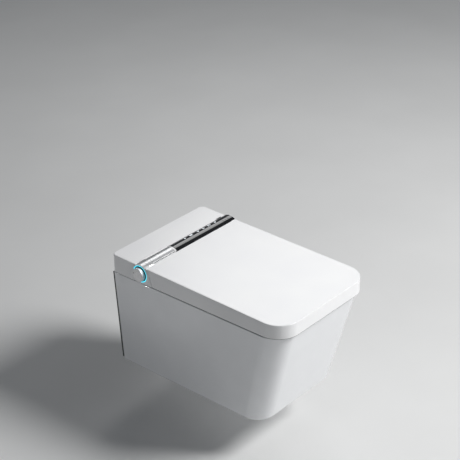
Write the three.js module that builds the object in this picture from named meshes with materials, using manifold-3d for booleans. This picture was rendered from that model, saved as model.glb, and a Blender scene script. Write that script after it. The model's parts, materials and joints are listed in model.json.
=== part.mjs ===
// Electric bidet seat on its wall-hung bowl. Millimetres, +Z up, the wall is the plane y = 0 and the
// front points towards -Y. The origin is on the wall, midway between the two wall fixings.
import * as THREE from "three";
import { mergeVertices } from "three/addons/utils/BufferGeometryUtils.js";
import Module from "manifold-3d";

const wasm = await Module();
wasm.setup();

// ---------- driving dimensions ----------
const HALF_WIDTH = 187.5; // half the width of the seat unit and of the bowl's rim
const LENGTH = 603.5; // wall to the front of the lid
const TOP_Z = 158; // top of the housing where it meets the wall
const TOP_FALL = 0.021; // the top falls by this share of the distance from the wall
const GAP = 0.3; // between pieces that touch
const REAR_RADIUS = 16; // rear corners in plan
const FRONT_RADIUS = 64; // front corners in plan
const GASKET_THICK = 3;
const BACK_Y = -(GASKET_THICK + GAP); // rear face of the bowl and of the housing

const RIM_Z = 102.5; // top face of the ceramic
const UNIT_Z = 104; // lower edge of the housing
const SKIRT_Z = 105.5; // lower edge of the lid
const RIM_SETBACK = 8.8; // the ceramic's front is this far behind the lid's front
const BOWL_BOTTOM_Z = -196.5;
const BOWL_BOTTOM_HALF = HALF_WIDTH - 21.2; // the bowl narrows by this much a side
const BOWL_BOTTOM_LENGTH = LENGTH - 88.5;
const BOWL_REAR_R = 12; // rear corners of the ceramic in plan
const SHELL_WALL = 12; // ceramic wall of the outer body
const DECK_WALL = 14; // ceramic thickness under the rim face
const BASIN_WALL = 10;

const FIXING_X = 90; // half the spacing of the wall fixings
const FIXING_HOLE_R = 7;
const STUD_R = 6;
const STUD_LENGTH = 46;
const PLATE_WALL = 14; // rear plate of the ceramic that the fixings clamp
const INLET_Z = 35; // flush inlet centre
const INLET_R = 27.5;
const OUTLET_Z = -100; // outlet centre
const OUTLET_R = 43;
const PIPE_WALL = 6;

const RIM_SIDE = 57.5; // rim face beside the basin
const RIM_FRONT = 63.5; // lid's front to the basin
const BASIN_HALF = HALF_WIDTH - RIM_SIDE; // basin opening at the rim
const BASIN_REAR_Y = -122;
const BASIN_FRONT_Y = -(LENGTH - RIM_FRONT);
const BASIN_BOTTOM_Z = -132;
const BAY_HALF = 32; // notch at the rear of the basin for the nozzle
const BAY_REAR_Y = -80;
const BAY_DEPTH = 30;

const WALL = 3; // plastic wall of the housing
const BLOCK_FRONT_Y = -86; // front face of the rear block of the housing
const BAR_REAR_Y = -93.3; // rear edge of the bar on the top
const BAR_SEAT_Z = 151; // the bar's covers stand on this level
const HINGE_Y = -110.5;
const HINGE_Z = 138.3;
const KNOB_Z = 131.85; // knob, light ring and barrel share this centre height
const SEAM_R = 34.2; // round part of the seam between cheek and lid
const SEAM_ANGLE = 18.9; // lean of the straight part of the seam, degrees
const SEAM_GAP = 0.8;

const BARREL_R = 28.6;
const BARREL_FRONT_Y = -126.5;
const LENS_R = 35;
const LENS_Y = -111.5;
const LENS_Z = 125.8;
const LENS_FRONT_Y = -130.8;
const COVER_WALL = 2.5; // barrel cover, lens and front cover
const BARREL_END_X = -63; // right end of the barrel cover
const LENS_START_X = -57; // left end of the lens
const FRONT_COVER_R = 26; // front of the front cover, about the hinge line
const FRONT_COVER_Y = -130;
const LID_REAR_R = 28; // rear edge of the lid, about the hinge line

const CHEEK_WIDTH = 17.5;
const CHEEK_X = HALF_WIDTH - CHEEK_WIDTH; // inner face of each cheek
const KNUCKLE_R = 22;
const KNUCKLE_GAP = 0.5;
const KNUCKLE_WIDTH = 9.5;
const LID_KNUCKLE_X = CHEEK_X - KNUCKLE_GAP; // outer face of the lid's knuckle
const SEAT_KNUCKLE_X = LID_KNUCKLE_X - KNUCKLE_WIDTH - KNUCKLE_GAP;
const INNER_X = SEAT_KNUCKLE_X - KNUCKLE_WIDTH - KNUCKLE_GAP; // half the length between knuckles
const PIN_R = 5;
const PIN_PLAY = 0.4;
const CAP_ROOM = 0.9; // room behind the knuckles for their caps to turn

const SEAT_SIDE_GAP = 5.5; // seat to the lid's inner side
const SEAT_REAR_Y = -146;
const SEAT_REAR_R = 36; // rear corners stay clear of the cheeks
const SEAT_BOTTOM_Z = 111;
const SEAT_SPLIT_Z = 118;
const SEAT_TOP_Z = 134;
const SEAT_WALL = 4;
const SEAT_HOLE_SIDE = 79.5; // lid's side to the seat's opening
const SEAT_HOLE_FRONT = 91.5; // lid's front to the seat's opening
const SEAT_HOLE_HALF = HALF_WIDTH - SEAT_HOLE_SIDE;
const SEAT_HOLE_REAR_Y = -196;
const SEAT_HOLE_FRONT_Y = -(LENGTH - SEAT_HOLE_FRONT);
const LID_WALL = 4;
const LINER_THICK = 4;
const LINER_REAR_Y = -172;

const KNOB_R = 20.5;
const KNOB_PROUD = 11.8; // knob's face to the side of the housing
const KNOB_PRESS_GAP = 1.9; // knob's rear edge to the side of the housing
const SHAFT_R = 3;
const RING_OUT_R = 24.7;
const RING_IN_R = 22.7;
const NOZZLE_R = 8;
const NOZZLE_LENGTH = 98;
const NOZZLE_SLOPE = 18; // degrees below level
const NOZZLE_TIP_Y = -135;
const NOZZLE_TIP_Z = 98;
const BASE_THICK = 4;
const SEAT_BOLT_X = 105;
const SEAT_BOLT_Y = -50;
const SERVICE_X = 150; // water inlet and cable gland through the deck
const SERVICE_Y = -40;
const SERVICE_R = 10;

// ---------- values that follow ----------
const topZ = (y) => TOP_Z + TOP_FALL * y;
const BASE_Z = RIM_Z + GAP; // underside of the base plate
const BASE_TOP_Z = BASE_Z + BASE_THICK;
const RIM_FRONT_Y = -(LENGTH - RIM_SETBACK);
const rad = THREE.MathUtils.degToRad;

// ---------- materials ----------
const finish = (color, roughness, metalness = 0) =>
  new THREE.MeshStandardMaterial({ color, roughness, metalness });
const CERAMIC = finish(0xf2f2f1, 0.12);
const WHITE_PLASTIC = finish(0xf3f3f3, 0.3);
const GREY_PLASTIC = finish(0xbfc2c4, 0.45);
const DARK_PLASTIC = finish(0x2a2c2f, 0.4);
const BLACK_GLOSS = finish(0x08090b, 0.08);
const SATIN_METAL = finish(0xcfd0d2, 0.25, 1);
const STEEL = finish(0xa9acb0, 0.35, 1);
const BRASS = finish(0xc8a25a, 0.3, 1);
const RUBBER = finish(0x3a3c3e, 0.8);
const LIGHT = finish(0x63e3f5, 0.3);
const BOARD_GREEN = finish(0x1f5a3a, 0.5);

// ---------- making shapes ----------
// A closed three.js geometry as a solid.
function solid(geometry) {
  const g = geometry.clone();
  g.deleteAttribute("normal");
  g.deleteAttribute("uv");
  const merged = mergeVertices(g, 1e-4);
  const triVerts = new Uint32Array(merged.index.array);
  const vertProperties = merged.attributes.position.array;
  return new wasm.Manifold(new wasm.Mesh({ numProp: 3, vertProperties, triVerts }));
}

// A box between two x, two y and two z values.
function box(x0, x1, y0, y1, z0, z1) {
  const size = [Math.abs(x1 - x0), Math.abs(y1 - y0), Math.abs(z1 - z0)];
  const g = new THREE.BoxGeometry(...size);
  return solid(g.translate((x0 + x1) / 2, (y0 + y1) / 2, (z0 + z1) / 2));
}

// A round bar along one axis, centred in the other two: rod("x", r, from, to, [y, z]).
function rod(axis, radius, from, to, [a, b], sides = 32) {
  const length = Math.abs(to - from);
  const middle = (from + to) / 2;
  const g = new THREE.CylinderGeometry(radius, radius, length, sides);
  if (axis === "x") g.rotateZ(Math.PI / 2).translate(middle, a, b);
  if (axis === "y") g.translate(a, middle, b);
  if (axis === "z") g.rotateX(Math.PI / 2).translate(a, b, middle);
  return solid(g);
}

// A tube is a bar with a smaller bar cut out of it.
function tube(axis, outer, inner, from, to, centre, sides = 32) {
  const over = 1;
  const low = Math.min(from, to) - over;
  const high = Math.max(from, to) + over;
  return rod(axis, outer, from, to, centre, sides).subtract(rod(axis, inner, low, high, centre, sides));
}

// A plan outline with its own corner radii at the rear and at the front.
function outline(half, rearY, frontY, rearR, frontR) {
  const s = new THREE.Shape();
  s.moveTo(-half + frontR, frontY);
  s.lineTo(half - frontR, frontY);
  s.absarc(half - frontR, frontY + frontR, frontR, -Math.PI / 2, 0);
  s.lineTo(half, rearY - rearR);
  s.absarc(half - rearR, rearY - rearR, rearR, 0, Math.PI / 2);
  s.lineTo(-half + rearR, rearY);
  s.absarc(-half + rearR, rearY - rearR, rearR, Math.PI / 2, Math.PI);
  s.lineTo(-half, frontY + frontR);
  s.absarc(-half + frontR, frontY + frontR, frontR, Math.PI, Math.PI * 1.5);
  return s;
}

// A plan shape raised from z0 to z1.
function slab(shape, z0, z1, curveSegments = 6) {
  const options = { depth: z1 - z0, bevelEnabled: false, curveSegments };
  return new THREE.ExtrudeGeometry(shape, options).translate(0, 0, z0);
}

// A side-view shape in (y, z), drawn from x0 to x1.
function sideSlab(points, x0, x1, curveSegments = 12) {
  const asShape = () => new THREE.Shape(points.map((p) => new THREE.Vector2(...p)));
  const shape = points instanceof THREE.Shape ? points : asShape();
  const options = { depth: x1 - x0, bevelEnabled: false, curveSegments };
  const g = new THREE.ExtrudeGeometry(shape, options).translate(0, 0, x0);
  g.applyMatrix4(new THREE.Matrix4().set(0, 0, 1, 0, 1, 0, 0, 0, 0, 1, 0, 0, 0, 0, 0, 1));
  return solid(g);
}

// The same body on the other side of the middle.
const mirrored = (body) => body.mirror([1, 0, 0]);

// Draws a slab in towards (0, centreY) as it goes down: x by shareX and y by shareY at the bottom.
function drawnIn(geometry, zTop, zBottom, centreY, shareX, shareY) {
  const p = geometry.attributes.position;
  for (let i = 0; i < p.count; i++) {
    const t = (zTop - p.getZ(i)) / (zTop - zBottom);
    p.setX(i, p.getX(i) * (1 + (shareX - 1) * t));
    p.setY(i, centreY + (p.getY(i) - centreY) * (1 + (shareY - 1) * t));
  }
  return geometry;
}

// ---------- the assembly ----------
const toilet = new THREE.Group();
const bowlGroup = new THREE.Group();
const unitGroup = new THREE.Group();
const seatGroup = new THREE.Group();
const lidGroup = new THREE.Group();
toilet.add(bowlGroup, unitGroup, seatGroup, lidGroup);

function place(group, name, body, material) {
  const m = body.getMesh();
  const g = new THREE.BufferGeometry();
  g.setAttribute("position", new THREE.BufferAttribute(m.vertProperties.slice(), 3));
  g.setIndex(new THREE.BufferAttribute(m.triVerts.slice(), 1));
  g.computeVertexNormals();
  const mesh = new THREE.Mesh(g, material);
  mesh.name = name;
  group.add(mesh);
}

const SIDES = [["left", -1], ["right", 1]];
const onSide = (sign, body) => (sign > 0 ? body : mirrored(body));

// ---------- ceramic bowl ----------
// One tapered body, hollow towards the wall, with a basin let into its top.
function bowlOuter(inset, zTop, zBottom) {
  const at = (top, bottom, z) => bottom + ((top - bottom) * (z - BOWL_BOTTOM_Z)) / (RIM_Z - BOWL_BOTTOM_Z);
  const half = (z) => at(HALF_WIDTH - 0.7, BOWL_BOTTOM_HALF, z) - inset;
  const front = (z) => at(RIM_FRONT_Y, -BOWL_BOTTOM_LENGTH, z) + inset;
  const rearY = inset ? 20 : BACK_Y;
  const shape = outline(half(zTop), rearY, front(zTop), BOWL_REAR_R, FRONT_RADIUS - inset);
  const shareX = half(zBottom) / half(zTop);
  const shareY = (rearY - front(zBottom)) / (rearY - front(zTop));
  return solid(drawnIn(slab(shape, zBottom, zTop, 8), zTop, zBottom, rearY, shareX, shareY));
}

function basin(grow) {
  const rear = BASIN_REAR_Y + grow;
  const front = BASIN_FRONT_Y - grow;
  const shape = outline(BASIN_HALF + grow, rear, front, 80 + grow, 105 + grow);
  const bottom = BASIN_BOTTOM_Z - grow;
  const top = RIM_Z + (grow ? -1 : 1);
  const sumpY = -225;
  const bowlPart = solid(drawnIn(slab(shape, bottom, top, 8), top, bottom, sumpY, 0.42, 0.36));
  const bayBottom = RIM_Z - BAY_DEPTH - grow;
  const bay = box(-BAY_HALF - grow, BAY_HALF + grow, BAY_REAR_Y + grow, BASIN_REAR_Y - 40, bayBottom, top);
  return bowlPart.add(bay);
}

const PIPE_END_Y = -128;
const flushBore = (r) => rod("y", r, 5, PIPE_END_Y, [0, INLET_Z]);
const outletBore = (r) => rod("y", r, BACK_Y - 20, -200, [0, OUTLET_Z]);

function ceramicBowl() {
  let hollow = bowlOuter(SHELL_WALL, RIM_Z - DECK_WALL, BOWL_BOTTOM_Z + SHELL_WALL);
  hollow = hollow.subtract(box(-FIXING_X - 30, FIXING_X + 30, BACK_Y - PLATE_WALL, 40, -30, INLET_Z + 40));
  let bowl = bowlOuter(0, RIM_Z, BOWL_BOTTOM_Z).subtract(hollow);
  const web = box(-HALF_WIDTH, HALF_WIDTH, BACK_Y, BACK_Y - PLATE_WALL, -30, 30);
  bowl = bowl.add(web.intersect(bowlOuter(0, RIM_Z, BOWL_BOTTOM_Z)));
  bowl = bowl.add(basin(BASIN_WALL));
  bowl = bowl.add(rod("y", INLET_R + PIPE_WALL, BACK_Y, PIPE_END_Y - 6, [0, INLET_Z]));
  bowl = bowl.add(outletBore(OUTLET_R + PIPE_WALL));
  bowl = bowl.subtract(basin(0)).subtract(flushBore(INLET_R));
  bowl = bowl.subtract(rod("y", OUTLET_R, 5, -215, [0, OUTLET_Z]));
  // The flush water enters the basin through a slot in its rear wall.
  bowl = bowl.subtract(box(-INLET_R + 5, INLET_R - 5, PIPE_END_Y + 2, -158, INLET_Z + 6, INLET_Z + 20));
  for (const sign of [-1, 1]) {
    bowl = bowl.subtract(rod("y", FIXING_HOLE_R, 5, -40, [sign * FIXING_X, 0], 24));
    bowl = bowl.subtract(rod("z", 5, 60, 120, [sign * SEAT_BOLT_X, SEAT_BOLT_Y], 24));
    bowl = bowl.subtract(rod("z", SERVICE_R, 60, 120, [sign * SERVICE_X, SERVICE_Y], 24));
  }
  return bowl;
}
place(bowlGroup, "ceramic_bowl", ceramicBowl(), CERAMIC);

function wallGasket() {
  const inset = 5;
  const low = BOWL_BOTTOM_Z + inset;
  const span = RIM_Z - inset - low;
  const taper = HALF_WIDTH - BOWL_BOTTOM_HALF;
  const half = (z) => BOWL_BOTTOM_HALF + (taper * (z - BOWL_BOTTOM_Z)) / span - inset;
  const shape = new THREE.Shape();
  shape.moveTo(-half(low), low);
  shape.lineTo(half(low), low);
  shape.lineTo(half(low + span) - 2, low + span);
  shape.lineTo(-half(low + span) + 2, low + span);
  const options = { depth: GASKET_THICK, bevelEnabled: false };
  let body = solid(new THREE.ExtrudeGeometry(shape, options).rotateX(Math.PI / 2));
  body = body.subtract(rod("y", INLET_R + 3.5, 5, -10, [0, INLET_Z]));
  body = body.subtract(rod("y", OUTLET_R + 14, 5, -10, [0, OUTLET_Z]));
  for (const sign of [-1, 1]) {
    body = body.subtract(rod("y", FIXING_HOLE_R, 5, -10, [sign * FIXING_X, 0], 24));
  }
  return body;
}
place(bowlGroup, "wall_gasket", wallGasket(), RUBBER);

const NUT_Y = BACK_Y - PLATE_WALL - GAP;
for (const [side, sign] of SIDES) {
  const centre = [sign * FIXING_X, 0];
  place(bowlGroup, "wall_stud_" + side, rod("y", STUD_R, -GAP, -STUD_LENGTH, centre, 24), STEEL);
  const flange = rod("y", 15, NUT_Y, NUT_Y - 3, centre, 24);
  const nut = rod("y", 10.5, NUT_Y - 1, NUT_Y - 13, centre, 6).add(flange);
  const threadHole = rod("y", STUD_R + GAP, 0, -60, centre, 24);
  place(bowlGroup, "stud_nut_" + side, nut.subtract(threadHole), STEEL);
}
const spigot = tube("y", OUTLET_R + PIPE_WALL + 5, OUTLET_R + PIPE_WALL + GAP, -GAP, -50, [0, OUTLET_Z]);
place(bowlGroup, "outlet_connector", spigot, GREY_PLASTIC);
const flushPipe = tube("y", INLET_R - 1, INLET_R - 4, -GAP, -60, [0, INLET_Z]);
place(bowlGroup, "flush_connector", flushPipe, GREY_PLASTIC);

// ---------- housing of the seat unit ----------
// Side view of the cheek, whose front edge is the seam: an arc about the knob's centre, then a
// straight line that leans forward to the lower edge.
function cheekOutline(radius, rearY, lowZ, drop = 0) {
  const lean = rad(SEAM_ANGLE);
  const tangentY = HINGE_Y - radius * Math.cos(lean);
  const tangentZ = KNOB_Z + radius * Math.sin(lean);
  const topAngle = Math.PI - Math.asin((topZ(HINGE_Y - 25) - drop - KNOB_Z) / radius);
  const footY = tangentY - (tangentZ - lowZ) * Math.tan(lean);
  const s = new THREE.Shape();
  s.moveTo(rearY, lowZ);
  s.lineTo(rearY, topZ(rearY) - drop);
  s.lineTo(HINGE_Y + radius * Math.cos(topAngle), KNOB_Z + radius * Math.sin(topAngle));
  s.absarc(HINGE_Y, KNOB_Z, radius, topAngle, Math.PI - lean, false);
  s.lineTo(tangentY, tangentZ);
  s.lineTo(footY, lowZ);
  return s;
}
const planOutline = (inset) =>
  outline(HALF_WIDTH - inset, BACK_Y - inset, -LENGTH + inset, REAR_RADIUS - inset, FRONT_RADIUS - inset);
const planBody = (inset, z0, z1) => solid(slab(planOutline(inset), z0, z1));

function rearBlock(inset, lowZ, frontY, drop) {
  const profile = [[20, lowZ], [20, topZ(20) - drop], [frontY, topZ(frontY) - drop], [frontY, lowZ]];
  return sideSlab(profile, -HALF_WIDTH - 5, HALF_WIDTH + 5).intersect(planBody(inset, lowZ - 2, TOP_Z + 5));
}

function cheek(radius, x0, x1, lowZ, drop) {
  return sideSlab(cheekOutline(radius, BLOCK_FRONT_Y + 6, lowZ, drop), x0, x1);
}

// How far the farther upper edge of a cap is from the hinge line. Both edges turn inside a pocket.
function capReach(radius, centreY, centreZ, frontY) {
  const reachOf = (y) =>
    Math.hypot(y - HINGE_Y, centreZ + Math.sqrt(radius ** 2 - (y - centreY) ** 2) - HINGE_Z);
  return Math.max(reachOf(BAR_REAR_Y), reachOf(frontY));
}

function housingCover() {
  let body = rearBlock(0, UNIT_Z, BLOCK_FRONT_Y, 0);
  body = body.subtract(rearBlock(WALL, UNIT_Z - 5, BLOCK_FRONT_Y + WALL, WALL));
  const flange = sideSlab(
    [[BLOCK_FRONT_Y + 1, BAR_SEAT_Z - 1], [BLOCK_FRONT_Y + 1, topZ(BLOCK_FRONT_Y)],
      [BAR_REAR_Y + GAP, topZ(BAR_REAR_Y)], [BAR_REAR_Y + GAP, BAR_SEAT_Z - 1]], -HALF_WIDTH, HALF_WIDTH);
  body = body.add(flange);
  for (const sign of [-1, 1]) {
    const outer = onSide(sign, cheek(SEAM_R - SEAM_GAP, CHEEK_X, HALF_WIDTH, UNIT_Z, 0));
    const innerR = SEAM_R - SEAM_GAP - WALL;
    const inner = onSide(sign, cheek(innerR, CHEEK_X + WALL, HALF_WIDTH - WALL, UNIT_Z - 5, 8));
    body = body.add(outer).subtract(inner);
  }
  // The bar's ends are let into the top of the cheeks.
  const barSlot = (frontY) => [BAR_REAR_Y + 0.1, frontY - GAP, BAR_SEAT_Z - GAP, TOP_Z + 5];
  body = body.subtract(box(-HALF_WIDTH - 2, -CHEEK_X + 2, ...barSlot(BARREL_FRONT_Y)));
  body = body.subtract(box(CHEEK_X - 2, HALF_WIDTH + 2, ...barSlot(LENS_FRONT_Y)));
  // Room for the knuckles, their pins, the knob's parts and the wand.
  for (const sign of [-1, 1]) {
    const barrelReach = capReach(BARREL_R, HINGE_Y, KNOB_Z, BARREL_FRONT_Y);
    const lensReach = capReach(LENS_R, LENS_Y, LENS_Z, LENS_FRONT_Y);
    const reach = sign < 0 ? barrelReach : lensReach;
    const pocket = rod("x", reach + CAP_ROOM, INNER_X, CHEEK_X, [HINGE_Y, HINGE_Z], 48);
    body = body.subtract(onSide(sign, pocket));
    const pinHole = rod("x", PIN_R + GAP, CHEEK_X - 5, CHEEK_X + WALL + 2, [HINGE_Y, HINGE_Z]);
    body = body.subtract(onSide(sign, pinHole));
  }
  const ringHole = rod("x", RING_OUT_R + GAP, -HALF_WIDTH - 2, -HALF_WIDTH + WALL + 1, [HINGE_Y, KNOB_Z], 64);
  body = body.subtract(ringHole);
  const wandWindow = box(-20, 75, BLOCK_FRONT_Y - 2, BLOCK_FRONT_Y + WALL + 2, UNIT_Z - 2, 130);
  const plateX = HALF_WIDTH - WALL - GAP;
  const plateRoom = box(-plateX, plateX, -LENGTH, BLOCK_FRONT_Y + WALL + 5, UNIT_Z - 10, BASE_TOP_Z + GAP);
  return body.subtract(wandWindow).subtract(plateRoom);
}
place(unitGroup, "housing_cover", housingCover(), WHITE_PLASTIC);

function basePlate() {
  let body = planBody(WALL + 1, BASE_Z, BASE_TOP_Z);
  body = body.intersect(box(-HALF_WIDTH, HALF_WIDTH, 5, FRONT_COVER_Y - 2, BASE_Z - 1, BASE_TOP_Z + 1));
  const cheekWall = HALF_WIDTH - CHEEK_X + GAP;
  for (const sign of [-1, 1]) {
    const rear = BLOCK_FRONT_Y + WALL + GAP;
    const foot = box(HALF_WIDTH - cheekWall, HALF_WIDTH, rear, FRONT_COVER_Y - 5, 90, 120);
    body = body.subtract(onSide(sign, foot));
    body = body.subtract(rod("z", 4.6, 90, 120, [sign * SEAT_BOLT_X, SEAT_BOLT_Y], 24));
    body = body.subtract(rod("z", 8, 90, 120, [sign * SERVICE_X, SERVICE_Y], 24));
  }
  return body.subtract(box(-20, 20, BAY_REAR_Y + 14, FRONT_COVER_Y - 5, 90, 120));
}

// The cover in front of the hinge line carries the barrel cover, the display and the dampers.
function frontCover() {
  const r = FRONT_COVER_R;
  const topAngle = Math.PI - Math.asin((BAR_SEAT_Z - GAP - HINGE_Z) / r);
  const lowAngle = Math.PI + Math.acos((HINGE_Y - FRONT_COVER_Y) / r);
  const lowZ = BASE_TOP_Z + GAP;
  const shape = (inset) => {
    const s = new THREE.Shape();
    s.moveTo(FRONT_COVER_Y + inset, lowZ - inset);
    s.lineTo(BLOCK_FRONT_Y - GAP - inset, lowZ - inset);
    s.lineTo(BLOCK_FRONT_Y - GAP - inset, BAR_SEAT_Z - 1 - GAP - inset);
    s.lineTo(BAR_REAR_Y, BAR_SEAT_Z - 1 - GAP - inset);
    s.lineTo(BAR_REAR_Y, BAR_SEAT_Z - GAP - inset);
    const start = new THREE.Vector2(HINGE_Y + (r - inset) * Math.cos(topAngle), BAR_SEAT_Z - GAP - inset);
    s.lineTo(start.x, start.y);
    s.absarc(HINGE_Y, HINGE_Z, r - inset, topAngle + inset * 0.02, lowAngle - inset * 0.02, false);
    return s;
  };
  const body = sideSlab(shape(0), -INNER_X, INNER_X);
  const inner = sideSlab(shape(COVER_WALL), -INNER_X + COVER_WALL, INNER_X - COVER_WALL);
  const inX = INNER_X - COVER_WALL;
  const backOpen = box(-inX, inX, BLOCK_FRONT_Y - 4, BLOCK_FRONT_Y + 3, lowZ - 5, BAR_SEAT_Z - 4);
  const footOpen = box(-inX, inX, FRONT_COVER_Y + COVER_WALL, BLOCK_FRONT_Y, lowZ - 5, lowZ + 5);
  let cover = body.subtract(inner).subtract(backOpen).subtract(footOpen);
  for (const sign of [-1, 1]) {
    const hole = rod("x", PIN_R + GAP, INNER_X - 10, INNER_X + 5, [HINGE_Y, HINGE_Z]);
    cover = cover.subtract(onSide(sign, hole));
  }
  return cover;
}
place(unitGroup, "base_plate", basePlate(), GREY_PLASTIC);

const FLAP_X = [38, 68]; // the dryer flap closes this window in the front cover
const FLAP_TOP_Z = 119;
const FLAP_LOW_Z = BASE_TOP_Z + 1;
const FLAP_THICK = 2;
const frontWindows = [
  box(-12, 12, FRONT_COVER_Y - 8, FRONT_COVER_Y + 6, 100, 112),
  box(FLAP_X[0] - 1, FLAP_X[1] + 1, FRONT_COVER_Y - 8, FRONT_COVER_Y + 6, 100, FLAP_TOP_Z + 1),
];

// ---------- the bar: barrel cover, display lens and their ends ----------
// A shallow cap: an arc over a flat foot, as a shell or as a solid.
function capOutline(radius, centreY, centreZ, rearY, frontY, footZ) {
  const angleAt = (y) => Math.acos((y - centreY) / radius);
  const s = new THREE.Shape();
  s.moveTo(rearY, footZ);
  s.absarc(centreY, centreZ, radius, angleAt(rearY), angleAt(frontY), false);
  s.lineTo(frontY, footZ);
  return s;
}
const barrelCap = (shrink) =>
  capOutline(BARREL_R - shrink, HINGE_Y, KNOB_Z,
    BAR_REAR_Y - shrink, BARREL_FRONT_Y + shrink, BAR_SEAT_Z - shrink);
const lensCap = (shrink) =>
  capOutline(LENS_R - shrink, LENS_Y, LENS_Z,
    BAR_REAR_Y - shrink, LENS_FRONT_Y + shrink, BAR_SEAT_Z - shrink);
// A rib of the front cover parts the barrel from the display.
const rib = sideSlab(
  capOutline(BARREL_R, HINGE_Y, KNOB_Z, BAR_REAR_Y, BARREL_FRONT_Y, BAR_SEAT_Z - 1),
  BARREL_END_X + GAP, LENS_START_X - GAP);
const coverBody = frontWindows.reduce((body, window) => body.subtract(window), frontCover());
place(unitGroup, "front_cover", coverBody.add(rib), WHITE_PLASTIC);
function capShell(cap, x0, x1) {
  return sideSlab(cap(0), x0, x1).subtract(sideSlab(cap(COVER_WALL), x0 + COVER_WALL, x1 - COVER_WALL));
}
place(unitGroup, "barrel_cover", capShell(barrelCap, -INNER_X, BARREL_END_X), SATIN_METAL);
place(unitGroup, "display_lens", capShell(lensCap, LENS_START_X, INNER_X), BLACK_GLOSS);
const board = box(LENS_START_X + 8, INNER_X - 12, -101, -124, BAR_SEAT_Z + GAP, BAR_SEAT_Z + 1.9);
place(unitGroup, "display_board", board, BOARD_GREEN);
const ringRoomX = -HALF_WIDTH + WALL + GAP;
const ringRoom = rod("x", RING_OUT_R + GAP, -HALF_WIDTH - 2, ringRoomX, [HINGE_Y, KNOB_Z], 64);
const barrelEnd = sideSlab(barrelCap(0), -HALF_WIDTH, -CHEEK_X - GAP).subtract(ringRoom);
place(unitGroup, "barrel_end", barrelEnd, SATIN_METAL);
place(unitGroup, "lens_end", sideSlab(lensCap(0), CHEEK_X + GAP, HALF_WIDTH), BLACK_GLOSS);

// ---------- knob ----------
const SIDE_X = -HALF_WIDTH;
const KNOB_AXIS = [HINGE_Y, KNOB_Z];
const ring = tube("x", RING_OUT_R, RING_IN_R, SIDE_X - 0.2, SIDE_X + WALL, KNOB_AXIS, 64);
place(unitGroup, "light_ring", ring, LIGHT);
const BEZEL_X = SIDE_X + 0.2;
const bezel = tube("x", RING_IN_R - GAP, SHAFT_R + 0.5, BEZEL_X, SIDE_X + WALL, KNOB_AXIS, 64);
place(unitGroup, "knob_bezel", bezel, DARK_PLASTIC);
const ENCODER_X = [SIDE_X + WALL + GAP, -CHEEK_X - WALL - 1.2];
const encoder = box(...ENCODER_X, HINGE_Y - 10, HINGE_Y + 10, KNOB_Z - 10, KNOB_Z + 10);
const shaftBore = rod("x", SHAFT_R + 0.5, SIDE_X, ENCODER_X[1] - 2, KNOB_AXIS);
place(unitGroup, "knob_encoder", encoder.subtract(shaftBore), BLACK_GLOSS);
const SHAFT_END_X = ENCODER_X[1] - 4.5;
const KNOB_FACE_X = SIDE_X - KNOB_PROUD;
const shaft = rod("x", SHAFT_R, KNOB_FACE_X + 3, SHAFT_END_X, KNOB_AXIS, 24);
place(unitGroup, "knob_shaft", shaft, STEEL);
const knobBody = rod("x", KNOB_R, KNOB_FACE_X, SIDE_X - KNOB_PRESS_GAP, KNOB_AXIS, 64);
const knobHollow = tube("x", KNOB_R - 2.5, SHAFT_R + 3, KNOB_FACE_X + 4, SIDE_X + 2, KNOB_AXIS, 32);
const shaftSocket = rod("x", SHAFT_R + GAP, KNOB_FACE_X + 3 - GAP, SIDE_X + 2, KNOB_AXIS, 24);
place(unitGroup, "control_knob", knobBody.subtract(knobHollow).subtract(shaftSocket), SATIN_METAL);

// ---------- hinge pins and dampers ----------
const PIN_OUT_X = CHEEK_X + WALL + 0.8;
const PIN_IN_X = INNER_X - 4;
for (const [side, sign] of SIDES) {
  const pin = rod("x", PIN_R, PIN_OUT_X, PIN_IN_X, [HINGE_Y, HINGE_Z], 32);
  place(unitGroup, "hinge_pin_" + side, onSide(sign, pin), STEEL);
  const damper = rod("x", 9.5, PIN_IN_X - GAP, PIN_IN_X - 62, [HINGE_Y, HINGE_Z], 24);
  place(unitGroup, sign < 0 ? "lid_damper" : "seat_damper", onSide(sign, damper), GREY_PLASTIC);
}

// ---------- inside the housing ----------
const FLOOR_Z = BASE_TOP_Z + GAP; // parts stand on the base plate
const SLOPE = rad(NOZZLE_SLOPE);
// A body made along -Y from the wand's tip at the origin, turned down by the slope and put in place.
function onWandLine(body) {
  return body.rotate([NOZZLE_SLOPE, 0, 0]).translate([0, NOZZLE_TIP_Y, NOZZLE_TIP_Z]);
}
const WAND_R = NOZZLE_R - 0.8;
const wand = onWandLine(tube("y", WAND_R, WAND_R - 2.2, 8 + GAP, NOZZLE_LENGTH, [0, 0], 32));
place(unitGroup, "nozzle_tube", wand, SATIN_METAL);
let tip = rod("y", NOZZLE_R, 0, 8, [0, 0], 32);
for (let i = 0; i < 3; i++) tip = tip.subtract(rod("z", 0.7, NOZZLE_R - 1.5, 20, [(i - 1) * 2.6, 4], 12));
place(unitGroup, "nozzle_tip", onWandLine(tip), WHITE_PLASTIC);
const GUIDE = { radius: 11.5, from: 18, to: 88 };
let guide = rod("y", GUIDE.radius, GUIDE.from, GUIDE.to, [0, 0], 32);
guide = guide.subtract(rod("y", NOZZLE_R + GAP, -5, 120, [0, 0], 32));
place(unitGroup, "nozzle_guide", onWandLine(guide), GREY_PLASTIC);
place(unitGroup, "nozzle_motor", box(14, 30, -38, -66, FLOOR_Z, FLOOR_Z + 18), STEEL);

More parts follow.
